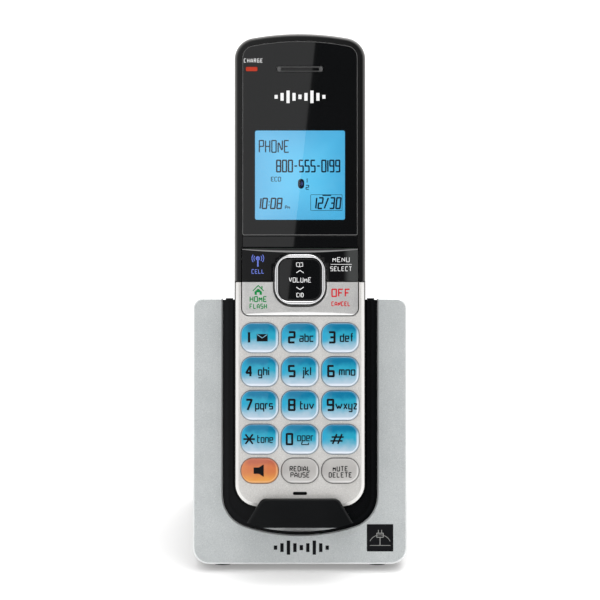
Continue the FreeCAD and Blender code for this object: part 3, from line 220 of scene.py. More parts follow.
def make_key_wash():
    """The see-through wash of a backlit key: deep at the top and left, pale at the foot, with a grey outline and a
    painted highlight along its right-hand edge, its foot and just inside its lower right.
    """
    tree, given, made = shader_group(
        "Key wash", {"Across": 0.5, "Up": 0.5, "Position": None, "Top": (0, 0.3, 0.5, 1),
                     "Middle": (0.1, 0.5, 0.7, 1), "Foot": (0.6, 0.7, 0.9, 1), "Side": (0, 0.4, 0.65, 1),
                     "Rim": (0.8, 0.85, 0.9, 1), "Rim strength": 0.8, "Inset": 1.0,
                     "Outline": (0.3, 0.3, 0.3, 1)}, {"Colour": "Color"})
    across = given["Across"]
    ripple = math_node("SUBTRACT", noise(given["Position"], 420.0, 2.0), 0.5)
    up = math_node("ADD", given["Up"], times(ripple, 0.22))
    lower = mix_colour(ramp_between(up, 0.04, 0.56), given["Foot"], given["Middle"])
    body = mix_colour(ramp_between(up, 0.60, 0.86), lower, given["Top"])
    left = inverse(ramp_between(across, 0.03, 0.24))
    left = times(left, ramp_between(up, 0.22, 0.50))
    body = mix_colour(times(left, 0.85), body, given["Side"])
    # painted highlight: the cap's right-hand edge and its foot take the highlight colour, where light catches them
    right = ramp_between(across, 0.90, 0.98)
    foot = inverse(ramp_between(given["Up"], 0.04, 0.13))
    rim = math_node("MAXIMUM", times(right, ramp_between(up, 0.95, 0.55)), foot)
    rim = times(rim, given["Rim strength"], clamp=True)
    inset = given["Inset"]
    # painted highlight: a thin pale line just inside the cap's lower right edge
    gleam = times(ramp_between(inset, 0.38, 0.52), inverse(ramp_between(inset, 0.60, 0.80)))
    lower_right = ramp_between(math_node("SUBTRACT", across, given["Up"]), -0.1, 0.6)
    gleam = times(gleam, times(lower_right, 0.7))
    rim = math_node("MAXIMUM", rim, gleam)
    outline = inverse(ramp_between(inset, 0.12, 0.36))
    coloured = mix_colour(rim, body, given["Rim"])
    coloured = mix_colour(times(outline, 0.6), coloured, given["Outline"])
    tree.links.new(coloured, made["Colour"])
    return tree


def make_turned_edge():
    """0 on surfaces that look the way of the face, 1 on those turned well away from it."""
    tree, given, made = shader_group(
        "Turned edge", {"Normal": None, "Face": (0, -1, 0), "Begins": 0.95, "Full": 0.5}, {"Turned": "Float"})
    begins = given["Begins"]
    past = math_node("SUBTRACT", begins, facing_share(given["Normal"], given["Face"]))
    whole = math_node("SUBTRACT", begins, given["Full"])
    tree.links.new(math_node("DIVIDE", past, whole, clamp=True), made["Turned"])
    return tree


GRAIN = make_moulded_grain()
TURNED = make_turned_edge()
FLAKE = make_flake_paint()
WASH = make_key_wash()


# ---- finishes ----

class Finish:
    """A material under construction: its tree, its shader and a few ways of feeding them."""

    def __init__(self, name, **settings):
        self.material = bpy.data.materials.new(name)
        self.material.use_nodes = True
        self.tree = self.material.node_tree
        self.shader = self.tree.nodes["Principled BSDF"]
        self.position = self.tree.nodes.new("ShaderNodeTexCoord").outputs["Object"]
        for label, value in settings.items():
            socket = self.shader.inputs[label.replace("_", " ").title().replace("Ior", "IOR")]
            socket.default_value = (*value, 1) if isinstance(value, tuple) and len(value) == 3 else value

    def feed(self, label, value):
        self.tree.links.new(value, self.shader.inputs[label])

    def use(self, group, **given):
        node = self.tree.nodes.new("ShaderNodeGroup")
        node.node_tree = group
        return set_sockets(node, given).outputs

    def grain(self, size, roughness, patchiness):
        """The moulded grain, which also makes the roughness uneven."""
        made = self.use(GRAIN, Position=self.position, Grain_size=size, Roughness=roughness, Patchiness=patchiness)
        self.feed("Roughness", made["Roughness"])
        return made

    def bump(self, height, strength, depth):
        node = add_node(self.tree, "ShaderNodeBump", Strength=strength, Distance=depth * MILLIMETRE, Height=height)
        self.feed("Normal", node.outputs["Normal"])

    def turned(self, from_level, to_level):
        """A mask of what is turned away from the face: edges, bevels and sides."""
        facing = self.tree.nodes.new("ShaderNodeNewGeometry").outputs["Normal"]
        turned = self.use(TURNED, Normal=facing, Face=tuple(OUT), Begins=from_level, Full=to_level)
        return turned["Turned"]

    def leaning(self):
        """Across, out of the face and up the handset, in millimetres, from the seat."""
        shift = self.tree.nodes.new("ShaderNodeMapping")
        shift.inputs["Location"].default_value = SEAT * -MILLIMETRE
        turn = self.tree.nodes.new("ShaderNodeMapping")
        turn.inputs["Rotation"].default_value = (LEAN, 0, 0)
        turn.inputs["Scale"].default_value = (1 / MILLIMETRE,) * 3
        self.tree.links.new(self.position, shift.inputs["Vector"])
        self.tree.links.new(shift.outputs[0], turn.inputs["Vector"])
        parts = self.tree.nodes.new("ShaderNodeSeparateXYZ")
        self.tree.links.new(turn.outputs[0], parts.inputs[0])
        return parts.outputs


def plastic(name, colour, second, roughness, grain=0.3, depth=0.012, patchiness=0.06, coat=0.0, strength=0.35,
            shine=0.5):
    """A moulded plastic: two close shades in soft patches, a fine grain and, if it is glossy, a coat."""
    made = Finish(name, coat_weight=coat, coat_roughness=0.04, specular_ior_level=shine)
    grained = made.grain(grain, roughness, patchiness)
    made.feed("Base Color", mix_colour(grained["Patches"], colour, second))
    made.bump(grained["Height"], strength, depth)
    return made.material


def paint(name, base, bright, dark, drift, edge, metal, roughness, flake):
    """Silver paint whose edges, bevels and sides, turned away from the face, are painted brighter: a painted highlight
    where they catch the light.
    """
    made = Finish(name, metallic=metal, coat_weight=0.25, coat_roughness=0.25)
    flakes = made.use(FLAKE, Position=made.position, Flake_size=flake, Base=base, Bright_flake=bright,
                      Dark_flake=dark, Drift=drift)
    # painted highlight: surfaces turned away from the face take the paler edge colour
    turned = made.turned(0.97, 0.75)
    made.feed("Base Color", mix_colour(turned, flakes["Colour"], edge))
    made.grain(0.5, roughness, 0.05)
    made.bump(flakes["Height"], 0.12, 0.01)
    return made.material


def polished(name, colour, second, roughness, metal=1.0):
    made = Finish(name, metallic=metal)
    grained = made.grain(1.4, roughness, 0.03)
    made.feed("Base Color", mix_colour(grained["Patches"], colour, second))
    made.bump(grained["Height"], 0.012, 0.005)
    return made.material


def key_finish(name, top, middle, foot, side, rim, rim_strength, glow, outline):
    """A clear keycap over a washed film, lit from behind, with a painted highlight along its right-hand edge and its
    foot.
    """
    made = Finish(name, roughness=0.22, coat_weight=0.6, coat_roughness=0.03, emission_strength=glow,
                  specular_ior_level=0.25)
    layout = made.tree.nodes.new("ShaderNodeUVMap")
    layout.uv_map = "keycap"
    parts = made.tree.nodes.new("ShaderNodeSeparateXYZ")
    made.tree.links.new(layout.outputs[0], parts.inputs[0])
    marks = made.tree.nodes.new("ShaderNodeAttribute")
    marks.attribute_name = "inset"
    washed = made.use(WASH, Across=parts.outputs[0], Up=parts.outputs[1], Position=made.position, Top=top,
                      Middle=middle, Foot=foot, Side=side, Rim=rim, Rim_strength=rim_strength,
                      Inset=marks.outputs["Fac"], Outline=outline)
    made.feed("Base Color", washed["Colour"])
    made.feed("Emission Color", washed["Colour"])
    grained = made.use(GRAIN, Position=made.position, Grain_size=1.8, Roughness=0.2, Patchiness=0.05)
    made.bump(grained["Height"], 0.10, 0.03)
    return made.material


def make_screen_glow():
    """The lit screen: pale in the middle, deeper blue towards its edges, and paler over its left part, where a painted
    reflection of the panel beside the camera lies.
    """
    made = Finish("screen glow", base_color=(0.02, 0.06, 0.09), roughness=0.12, emission_strength=1.0,
                  specular_ior_level=0.15)
    across, _, up = made.leaning()
    screen = Extent("display_module")
    half = screen.width / 2 - 3
    sideways = math_node("ABSOLUTE", math_node("SUBTRACT", across, screen.across))
    endways = math_node("ABSOLUTE", math_node("SUBTRACT", up, screen.up))
    edge = math_node("MAXIMUM", sideways, endways)
    middle = inverse(ramp_between(edge, half * 0.2, half * 1.05))
    # painted reflection: left of a slanting line the screen is made paler
    drift = math_node("SUBTRACT", across, times(up, 0.1))
    left = inverse(ramp_between(drift, -28.0, 2.0))
    colour = mix_colour(middle, (0.05, 0.41, 0.72), (0.085, 0.55, 0.88))
    colour = mix_colour(times(left, 0.22), colour, (0.36, 0.68, 0.97))
    rim = ramp_between(edge, half * 0.95, half * 1.04)
    colour = mix_colour(times(rim, 0.6), colour, (0.0, 0.10, 0.25))
    ripple = noise(made.position, 260.0, 2.0)
    colour = mix_colour(times(ripple, 0.08), colour, (0.5, 0.8, 1.0))
    made.feed("Emission Color", colour)
    made.grain(2.5, 0.12, 0.02)
    return made.material


def make_frame_rim():
    """Black on its face, with a painted reflection turning its rounded sides grey."""
    made = Finish("black frame with grey sides", specular_ior_level=0.35)
    grained = made.grain(0.35, 0.16, 0.05)
    black = mix_colour(grained["Patches"], (0.003, 0.003, 0.003), (0.005, 0.005, 0.005))
    # painted reflection: faces turned away from the face fade from black to grey
    made.feed("Base Color", mix_colour(made.turned(1.0, 0.5), black, (0.30, 0.293, 0.285)))
    made.bump(grained["Height"], 0.2, 0.004)
    return made.material


def make_lip_finish():
    """Charcoal black, with a painted reflection turning its lower chamfered edge grey."""
    made = Finish("charcoal lip plastic", specular_ior_level=0.14)
    grained = made.grain(0.5, 0.16, 0.04)
    charcoal = mix_colour(grained["Patches"], (0.004, 0.0045, 0.005), (0.007, 0.0075, 0.008))
    _, _, up = made.leaning()
    # painted reflection: faces near the lip's lower end that turn down from the face are made grey
    under = inverse(ramp_between(up, -6.4, -5.3))
    turned = times(under, made.turned(0.98, 0.85))
    made.feed("Base Color", mix_colour(turned, charcoal, (0.26, 0.26, 0.26)))
    made.bump(grained["Height"], 0.2, 0.003)
    return made.material


def scoop_share(across, from_end, half):
    """How far a place is through the scooped bevel of a rocking key: 0 at the key's end, 1 at its crease."""
    reach = math_node("DIVIDE", across, half)
    share = inverse(times(reach, reach), clamp=True)
    return math_node("DIVIDE", from_end, math_node("ADD", times(share, SCOOP_RISE), SCOOP_EDGE))


def make_rocker_black():
    """Gloss black, with a painted reflection making its right-hand end paler and a painted highlight along the crease
    of its scooped end.
    """
    key = Extent("cell_menu_key")
    made = Finish("black rocking key", specular_ior_level=0.2)
    grained = made.grain(4.0, 0.06, 0.02)
    across, _, up = made.leaning()
    # painted reflection: the right-hand end is made paler
    pale = times(ramp_between(across, 15.5, 18.5), 0.9)
    black = mix_colour(grained["Patches"], (0.003, 0.003, 0.0035), (0.006, 0.006, 0.0065))
    black = mix_colour(pale, black, (0.065, 0.068, 0.067))
    share = scoop_share(across, math_node("SUBTRACT", key.high, up), key.width / 2 - ROCKER_GAP)
    # painted highlight along the crease where the scooped bevel meets the face
    crease = times(ramp_between(share, 0.35, 0.90), inverse(ramp_between(share, 0.98, 1.16)))
    made.feed("Base Color", mix_colour(crease, black, (0.27, 0.27, 0.27)))
    made.bump(grained["Height"], 0.02, 0.002)
    return made.material


def make_rocker_silver():
    """Silver paint, with a painted highlight along the scooped bevel at the key's lower end."""
    key = Extent("home_off_key")
    made = Finish("bright silver paint", metallic=0.5, coat_weight=0.25, coat_roughness=0.25)
    flakes = made.use(FLAKE, Position=made.position, Flake_size=0.2, Base=(0.62, 0.615, 0.605),
                      Bright_flake=(0.88, 0.87, 0.86), Dark_flake=(0.52, 0.515, 0.51), Drift=(0.72, 0.715, 0.70))
    across, _, up = made.leaning()
    share = scoop_share(across, math_node("SUBTRACT", up, key.low), key.width / 2 - ROCKER_GAP)
    # painted highlight: the scooped bevel at the lower end is made brighter
    scoop_highlight = inverse(ramp_between(share, 0.8, 1.1))
    made.feed("Base Color", mix_colour(scoop_highlight, flakes["Colour"], (0.84, 0.84, 0.83)))
    made.grain(0.5, 0.3, 0.05)
    made.bump(flakes["Height"], 0.12, 0.01)
    return made.material


def make_cradle_black():
    """Black plastic whose rounded ridge has its sloping sides painted a little paler: a painted highlight."""
    made = Finish("black cradle plastic", specular_ior_level=0.2)
    grained = made.grain(0.3, 0.14, 0.05)
    black = mix_colour(grained["Patches"], (0.0025, 0.003, 0.0035), (0.005, 0.0055, 0.007))
    beyond = inverse(made.turned(0.45, 0.15))
    # painted highlight: faces half turned from the face are made paler, walls turned further stay black
    bead_highlight = times(made.turned(0.97, 0.70), beyond)
    made.feed("Base Color", mix_colour(bead_highlight, black, (0.075, 0.08, 0.085)))
    made.bump(grained["Height"], 0.3, 0.005)
    return made.material


def make_red_light():
    made = Finish("red charge light", base_color=(0.36, 0.022, 0.008), roughness=0.25, emission_strength=0.30,
                  specular_ior_level=0.2, coat_weight=0.2, coat_roughness=0.05)
    patches = made.grain(0.8, 0.25, 0.05)
    made.feed("Emission Color", mix_colour(patches["Patches"], (0.42, 0.035, 0.012), (0.66, 0.08, 0.03)))
    return made.material


def make_clear_window():
    made = Finish("clear window", roughness=0.0, ior=1.5, transmission_weight=1.0, base_color=(1, 1, 1))
    ripple = made.use(GRAIN, Position=made.position, Grain_size=30.0, Roughness=0.0, Patchiness=0.0)
    made.bump(ripple["Height"], 0.02, 0.01)
    return made.material


def print_ink(name, colour, second, glow=0.0):
    """Printed ink: slightly uneven, faintly raised, and, where a glow is given, shining with painted light of its own.
    """
    made = Finish(name, emission_strength=glow, specular_ior_level=0.08)
    grained = made.grain(0.25, 0.5, 0.1)
    shade = mix_colour(grained["Patches"], colour, second)
    made.feed("Base Color", shade)
    if glow:
        made.feed("Emission Color", shade)
    made.bump(grained["Height"], 0.1, 0.01)
    return made.material


# the fifth colour of each silver paint is the painted highlight on its edges and bevels
silver_keypad = paint("warm silver paint", (0.70, 0.685, 0.66), (0.92, 0.91, 0.89), (0.54, 0.525, 0.51),
                      (0.76, 0.745, 0.72), (0.80, 0.79, 0.77), 0.35, 0.42, 0.22)
silver_plate = paint("cool silver paint", (0.64, 0.672, 0.674), (0.88, 0.90, 0.90), (0.46, 0.48, 0.49),
                     (0.69, 0.72, 0.722), (0.78, 0.80, 0.80), 0.45, 0.40, 0.18)
silver_rocker = make_rocker_silver()
cradle_black = make_cradle_black()
gloss_black = plastic("gloss black plastic", (0.002, 0.0022, 0.0025), (0.0035, 0.0037, 0.004), 0.014, 6.0, 0.001,
                      0.008, 0.0, 0.01)
# painted highlight for the bevel round the window
window_edge_highlight = plastic("painted window edge highlight", (0.20, 0.20, 0.20), (0.26, 0.26, 0.26), 0.12, 1.0, 0.002, 0.03)
frame_black = plastic("black handset plastic", (0.0035, 0.0035, 0.0035), (0.006, 0.0058, 0.0058), 0.20, 0.35, 0.004,
                      0.05, shine=0.35)
frame_rim = make_frame_rim()
rocker_black = make_rocker_black()
base_black = plastic("black base plastic", (0.0025, 0.003, 0.0035), (0.005, 0.0055, 0.007), 0.14, 0.30, 0.005, 0.05,
                     shine=0.4)
rear_black = plastic("textured black plastic", (0.009, 0.009, 0.010), (0.017, 0.017, 0.018), 0.42, 0.38, 0.022,
                     0.10, shine=0.35)
lip_black = make_lip_finish()
# painted highlight for the sloping sides of the earpiece slot
slot_edge_highlight = plastic("painted slot edge highlight", (0.075, 0.075, 0.075), (0.10, 0.10, 0.10), 0.22, 0.5, 0.004, 0.05)
rubber = plastic("black rubber", (0.015, 0.015, 0.015), (0.03, 0.03, 0.03), 0.75, 0.5, 0.03, 0.1)
pale_rubber = plastic("white silicone sheet", (0.62, 0.62, 0.60), (0.70, 0.70, 0.68), 0.6, 0.6, 0.02, 0.1)
white_plastic = plastic("white plastic", (0.66, 0.66, 0.64), (0.74, 0.74, 0.72), 0.42, 0.4, 0.01, 0.06)
board_green = plastic("green circuit board", (0.012, 0.09, 0.035), (0.02, 0.13, 0.05), 0.35, 0.8, 0.02, 0.1)
battery_wrap = plastic("battery wrap", (0.02, 0.07, 0.22), (0.03, 0.10, 0.30), 0.28, 1.2, 0.01, 0.08, 0.3)
chrome = polished("polished chrome", (0.74, 0.74, 0.75), (0.82, 0.82, 0.83), 0.10)
tinned = polished("tinned steel", (0.55, 0.55, 0.54), (0.66, 0.66, 0.65), 0.34)
contact_metal = polished("nickel contact", (0.62, 0.58, 0.50), (0.74, 0.70, 0.62), 0.20)
gilt = polished("gold contact wire", (0.80, 0.55, 0.18), (0.88, 0.64, 0.26), 0.18)
# the fifth colour of each keycap and the number after it are its painted highlight and that highlight's strength
blue_key = key_finish("blue keycap", (0.0, 0.165, 0.31), (0.02, 0.33, 0.48), (0.44, 0.55, 0.65),
                      (0.0, 0.33, 0.55), (0.80, 0.83, 0.90), 0.65, 0.16, (0.30, 0.36, 0.40))
orange_key = key_finish("orange keycap", (0.50, 0.135, 0.075), (0.63, 0.19, 0.07), (0.78, 0.34, 0.08),
                        (0.66, 0.22, 0.08), (0.86, 0.48, 0.20), 0.5, 0.05, (0.42, 0.20, 0.12))
clear_key = key_finish("clear keycap", (0.50, 0.485, 0.47), (0.47, 0.455, 0.44), (0.58, 0.565, 0.55),
                       (0.42, 0.405, 0.395), (0.80, 0.79, 0.78), 0.6, 0.03, (0.20, 0.195, 0.19))
screen_glow = make_screen_glow()
red_light = make_red_light()
clear_window = make_clear_window()
# the glow of the white and blue inks is painted light: ink gives out none of its own
white_ink = print_ink("white ink", (0.80, 0.80, 0.80), (0.9, 0.9, 0.9), 0.12)
black_ink = print_ink("black ink", (0.004, 0.004, 0.005), (0.01, 0.01, 0.012))
grey_ink = print_ink("grey ink", (0.28, 0.28, 0.27), (0.36, 0.36, 0.35))
blue_ink = print_ink("blue ink", (0.12, 0.17, 0.62), (0.18, 0.24, 0.74), 0.1)
green_ink = print_ink("green ink", (0.008, 0.24, 0.055), (0.015, 0.30, 0.08))
red_ink = print_ink("red ink", (0.60, 0.012, 0.022), (0.70, 0.025, 0.035))
pale_blue_ink = print_ink("pale blue ink", (0.20, 0.48, 0.64), (0.26, 0.54, 0.70))
screen_ink = print_ink("screen character", (0.004, 0.014, 0.035), (0.008, 0.022, 0.05))

FINISH_OF_SLOT = {
    "silver_paint": silver_plate, "black_plastic": base_black, "gloss_black": gloss_black,
    "smoked_window": gloss_black, "blue_key": blue_key, "orange_key": orange_key, "clear_key": clear_key,
    "chrome": chrome, "display": screen_glow, "red_light": red_light, "circuit_board": board_green,
    "tinned_metal": tinned, "contact_metal": contact_metal, "white_plastic": white_plastic,
    "white_rubber": pale_rubber, "black_rubber": rubber, "battery_wrap": battery_wrap,
}
FINISH_OF_NODE = {
    "keypad_frame": silver_keypad, "home_off_key": silver_rocker, "back_shell": frame_black,
    "upper_front_frame": frame_rim, "battery_cover": frame_black, "rear_housing": rear_black,
    "cradle_lip": lip_black, "cradle_housing": cradle_black, "find_handset_key": rubber,
}


def finish_nodes():
    """Give every node of the frame the finish of its slot, or its own."""
    slot_of = {part["node"]: part["material_slot"] for part in frame["record"]["subparts"]}
    for name, thing in nodes.items():
        chosen = FINISH_OF_NODE.get(name) or FINISH_OF_SLOT.get(slot_of.get(name), base_black)
        thing.data.materials.clear()
        thing.data.materials.append(chosen)


finish_nodes()


# ---- mesh helpers ----

def finished(name, mesh, body, finish, stands_for=(), smooth=40):
    """Make a mesh a piece that rides on a body; its place is already in its points."""
    piece = bpy.data.objects.new(name, mesh)
    bpy.context.scene.collection.objects.link(piece)
    if finish is not None:
        mesh.materials.clear()
        mesh.materials.append(finish)
    mesh.shade_smooth()
    mesh.set_sharp_from_angle(angle=math.radians(smooth))
    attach(piece, body)
    if stands_for:
        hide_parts(*stands_for)
    return piece


def mesh_of(name, shape):
    bmesh.ops.remove_doubles(shape, verts=shape.verts, dist=1e-8)
    bmesh.ops.recalc_face_normals(shape, faces=shape.faces)
    mesh = bpy.data.meshes.new(name)
    shape.to_mesh(mesh)
    shape.free()
    return mesh


def arc_points(across, up, radius, start, stop, steps=10):
    """Points along an arc, between two angles in degrees."""
    angles = [math.radians(start + (stop - start) * step / steps) for step in range(steps + 1)]
    return [(across + radius * math.cos(angle), up + radius * math.sin(angle)) for angle in angles]


def round_box(across, up, half_across, half_up, corner, steps=8):
    """The points of a rounded rectangle, anticlockwise from its right-hand side."""
    corner = max(min(corner, half_across, half_up), 0.01)
    points = []
    for quarter, (side, end) in enumerate(((1, 1), (-1, 1), (-1, -1), (1, -1))):
        points += arc_points(across + side * (half_across - corner), up + end * (half_up - corner), corner,
                             quarter * 90, quarter * 90 + 90, steps)
    return points


def crowned_box(half, low, high, low_corner, high_corner, crown, steps=10):
    """A rounded rectangle whose upper end is a wide arc."""
    rise = math.sqrt((crown - high_corner) ** 2 - (half - high_corner) ** 2)
    turn = math.degrees(math.atan2(rise, half - high_corner))
    centre = high - crown + rise
    return (arc_points(half - high_corner, centre, high_corner, 0, turn, steps)
            + arc_points(0, high - crown, crown, turn, 180 - turn, steps * 2)[1:-1]
            + arc_points(high_corner - half, centre, high_corner, 180 - turn, 180, steps)
            + arc_points(low_corner - half, low + low_corner, low_corner, 180, 270, steps)
            + arc_points(half - low_corner, low + low_corner, low_corner, 270, 360, steps))


def ring_of(shape, points, level):
    return [shape.verts.new(place(across, up, level)) for across, up in points]


def bridge(shape, lower, upper):
    """Join two rings of the same number of points by a band of faces."""
    for first in range(len(lower)):
        second = (first + 1) % len(lower)
        shape.faces.new((lower[first], lower[second], upper[second], upper[first]))


def loft(shape, rings):
    """Join rings of the same number of points, given as (points, level), and close both ends."""
    loops = [ring_of(shape, points, level) for points, level in rings]
    for lower, upper in zip(loops, loops[1:]):
        bridge(shape, lower, upper)
    shape.faces.new(loops[0][::-1])
    shape.faces.new(loops[-1])


def slab(name, outline, low, high, body, finish, smooth=40):
    """A plate of one outline between two levels."""
    shape = bmesh.new()
    loft(shape, [(outline, low), (outline, high)])
    return finished(name, mesh_of(name, shape), body, finish, smooth=smooth)


def finish_slopes(piece, finish):
    """Give the sloping faces of a piece a paler finish of their own: a painted highlight where the slopes catch the
    light.
    """
    piece.data.materials.append(finish)
    for face in piece.data.polygons:
        if 0.3 < face.normal.dot(OUT) < 0.95:
            face.material_index = 1


# ---- lettering: single-stroke characters that follow a path ----

# Each stroke is a run of points, across and up on a grid whose baseline is 2, lower-case height 6 and
# capital height 8; a stroke that ends in * is closed.
STROKES = {
    "0": "02084842*", "1": "0802", "2": "084845050242", "3": "08484202 1545", "4": "32380444",
    "5": "480805454202", "6": "480802424505", "7": "084812", "8": "02084842* 0545", "9": "024248080545",
    "A": "0206284642 0444", "B": "02083846453502* 0535", "C": "48080242", "D": "020838474332*",
    "E": "48080242 0535", "F": "480802 0535", "G": "480802424525", "H": "0208 4248 0545", "I": "0802",
    "L": "080242", "M": "0208244842", "N": "02084248", "O": "02084842*", "P": "0208484505",
    "R": "0208484505 2542", "S": "480805454202", "T": "0848 2822", "U": "08024248", "V": "082248",
    "a": "063632020434", "b": "0802323606", "c": "36060232", "d": "3832020636", "e": "320206363404",
    "f": "281812 0626", "g": "320206363000", "h": "0802 063632", "i": "0602 0807", "j": "161000 1817",
    "k": "0802 360432", "l": "0802", "m": "02064642 2622", "n": "02063632", "o": "02063632*",
    "p": "0006363202", "q": "3036060232", "r": "020626", "s": "360604343202", "t": "080222 0626",
    "u": "06023236", "v": "062246", "w": "0622354266", "x": "0632 0236", "y": "060232 363000", "z": "06360232",
    "-": "0535", ":": "0404 0606", "/": "0238", "#": "1228 3248 0444 0646", "*": "0545 1832 3812", " ": "",
}


def letters(words, across, up, tall, line, squeeze=1.0, slant=0.0, gap=1.5, align=0.5):
    """The strokes of a line of characters of a given capital height, as (points, closed, line width)."""
    unit = tall / 6
    made = []
    along = 0.0
    for character in words:
        widest = 0
        for stroke in STROKES[character].split():
            closed = stroke.endswith("*")
            digits = stroke.rstrip("*")
            points = [(int(digits[i]), int(digits[i + 1])) for i in range(0, len(digits), 2)]
            widest = max(widest, *(point[0] for point in points))
            if len(set(points)) == 1:
                points = [(points[0][0] - 0.3, points[0][1]), (points[0][0] + 0.5, points[0][1])]
            made.append(([(along + x * squeeze, y - 2) for x, y in points], closed))
        along += (widest if character != " " else 2.2) * squeeze + gap
    shift = (along - gap) * align
    return [([(across + (x - shift + y * slant) * unit, up + (y - 3) * unit) for x, y in points], closed, line)
            for points, closed in made]


def lines(width, *runs):
    """Open strokes of one width."""
    return [(points, False, width) for points in runs]


def bars(width, *spans):
    """Level strokes of one width, each given as (from, to, up)."""
    return lines(width, *([(start, up), (stop, up)] for start, stop, up in spans))


def posts(width, *spans):
    """Upright strokes of one width, each given as (across, from, to)."""
    return lines(width, *([(across, start), (across, stop)] for across, start, stop in spans))


def geometry_tree(name, inputs, output):
    """A Geometry Nodes group, its inputs, and a function that realizes, coats and puts out what it made."""
    tree = bpy.data.node_groups.new(name, "GeometryNodeTree")
    for label, kind in inputs:
        tree.interface.new_socket(label, in_out="INPUT", socket_type="NodeSocket" + kind)
    tree.interface.new_socket(output, in_out="OUTPUT", socket_type="NodeSocketGeometry")

    def put_out(geometry, material):
        solid = add_node(tree, "GeometryNodeRealizeInstances", Geometry=geometry)
        coat = add_node(tree, "GeometryNodeSetMaterial", Geometry=solid.outputs[0], Material=material)
        tree.links.new(coat.outputs[0], tree.nodes.new("NodeGroupOutput").inputs[output])

    return tree, tree.nodes.new("NodeGroupInput").outputs, put_out


def make_lettering_tree():
    """Draws every stroke of a curve as a flat printed line with rounded bends."""
    tree, given, put_out = geometry_tree(
        "Printed lettering", [("Strokes", "Geometry"), ("Bend radius", "Float"), ("Thickness", "Float"),
                              ("Ink", "Material")], "Print")
    bend = tree.nodes.new("GeometryNodeFilletCurve")
    bend.mode = "POLY"
    set_sockets(bend, {"Curve": given["Strokes"], "Radius": given["Bend radius"], "Count": 3, "Limit Radius": True})
    finer = add_node(tree, "GeometryNodeSubdivideCurve", Curve=bend.outputs[0], Cuts=3)
    flat = add_node(tree, "GeometryNodeSetCurveNormal", Curve=finer.outputs[0])
    flat.mode = "Z_UP"
    width = tree.nodes.new("GeometryNodeInputRadius")
    section = add_node(tree, "GeometryNodeCurvePrimitiveQuadrilateral", Width=1.0, Height=given["Thickness"])
    sweep = add_node(tree, "GeometryNodeCurveToMesh", Curve=flat.outputs[0], Profile_Curve=section.outputs[0],
                     Scale=width.outputs[0], Fill_Caps=True)
    put_out(sweep.outputs[0], given["Ink"])
    return tree


LETTERING = make_lettering_tree()


def set_inputs(modifier, **values):
    """Set a Geometry Nodes modifier's inputs by the identifiers of their sockets."""
    for item in modifier.node_group.interface.items_tree:
        key = item.name.replace(" ", "_")
        if item.item_type == "SOCKET" and item.in_out == "INPUT" and key in values:
            modifier[item.identifier] = values[key]


def grown_mesh(name, source, tree, **values):
    """The plain mesh that a Geometry Nodes tree makes from a source."""
    holder = bpy.data.objects.new(name + "_holder", source)
    bpy.context.scene.collection.objects.link(holder)
    modifier = holder.modifiers.new("shape", "NODES")
    modifier.node_group = tree
    set_inputs(modifier, **values)
    graph = bpy.context.evaluated_depsgraph_get()
    mesh = bpy.data.meshes.new_from_object(holder.evaluated_get(graph), depsgraph=graph)
    mesh.name = name
    bpy.data.objects.remove(holder)
    return mesh


def printed(name, strokes, body, ink, surface, bend=0.12, thickness=0.04, lift=0.012):
    """Print strokes on a surface, given as a level or as a level for each place."""
    curve = bpy.data.curves.new(name + "_strokes", "CURVE")
    curve.dimensions = "3D"
    for points, closed, line in strokes:
        spline = curve.splines.new("POLY")
        spline.points.add(len(points) - 1)
        for point, (across, up) in zip(spline.points, points):
            point.co = (across, up, 0, 1)
            point.radius = line
        spline.use_cyclic_u = closed
    mesh = grown_mesh(name, curve, LETTERING, Bend_radius=bend, Thickness=thickness * 6, Ink=ink)
    for vertex in mesh.vertices:
        across, up, rise = vertex.co
        level = surface(across, up) if callable(surface) else surface
        vertex.co = place(across, up, level + lift + (thickness if rise > 0 else -thickness) / 2)
    return finished(name, mesh, body, ink)


# ---- the window ----

def hole_face(shape, loops, level):
    """A flat face with holes: the first loop is its outline."""
    edges = []
    for points in loops:
        corners = ring_of(shape, points, level)
        edges += [shape.edges.new((first, second)) for first, second in zip(corners, corners[1:] + corners[:1])]
    bmesh.ops.triangle_fill(shape, use_beauty=True, use_dissolve=False, edges=edges)


def tube(shape, rings):
    """Join rings of the same number of points into a closed band, the last one to the first."""
    loops = [ring_of(shape, points, level) for points, level in rings]
    for lower, upper in zip(loops, loops[1:] + loops[:1]):
        bridge(shape, lower, upper)


def wall(shape, upper, lower):
    """A band between two rings of the same number of points, given as (points, level)."""
    bridge(shape, ring_of(shape, *lower), ring_of(shape, *upper))


def make_window():
    """The glossy front window: black print behind it everywhere but over the screen, which stays clear."""
    lens, module = Extent("display_lens"), Extent("display_module")
    bevel, clearance, pane_gap = 0.2, 0.1, 0.004
    view_half = 16.45

    def view_outline(inset):
        return round_box(module.across, module.up, view_half - inset, view_half - clearance - inset, 0.7, 4)

    def hole_outline(name, corner, steps):
        part = Extent(name)
        return round_box(part.across, part.up, part.width / 2 + clearance, part.height / 2 + clearance, corner, steps)

    holes = [view_outline(0), hole_outline("earpiece_surround", 1.0, 5), hole_outline("charge_light", 0.5, 4)]
    half = lens.width / 2
    face = crowned_box(half - bevel, lens.low + bevel, lens.high - bevel, 0.4, 4.2, 91.8)
    outer = crowned_box(half, lens.low, lens.high, 0.6, 4.4, 92.0)
    shape = bmesh.new()
    hole_face(shape, [face, *holes], lens.front)
    hole_face(shape, [outer, *holes], lens.back)
    wall(shape, (face, lens.front), (outer, lens.front - bevel))
    wall(shape, (outer, lens.front - bevel), (outer, lens.back))
    for hole in holes:
        wall(shape, (hole, lens.front), (hole, lens.back))
    finish_slopes(finished("window_print", mesh_of("window_print", shape), "handset", gloss_black,
                           ["display_lens"], 20), window_edge_highlight)
    slab("window_pane", view_outline(pane_gap), lens.back + 0.02, lens.front, "handset", clear_window,
         20)


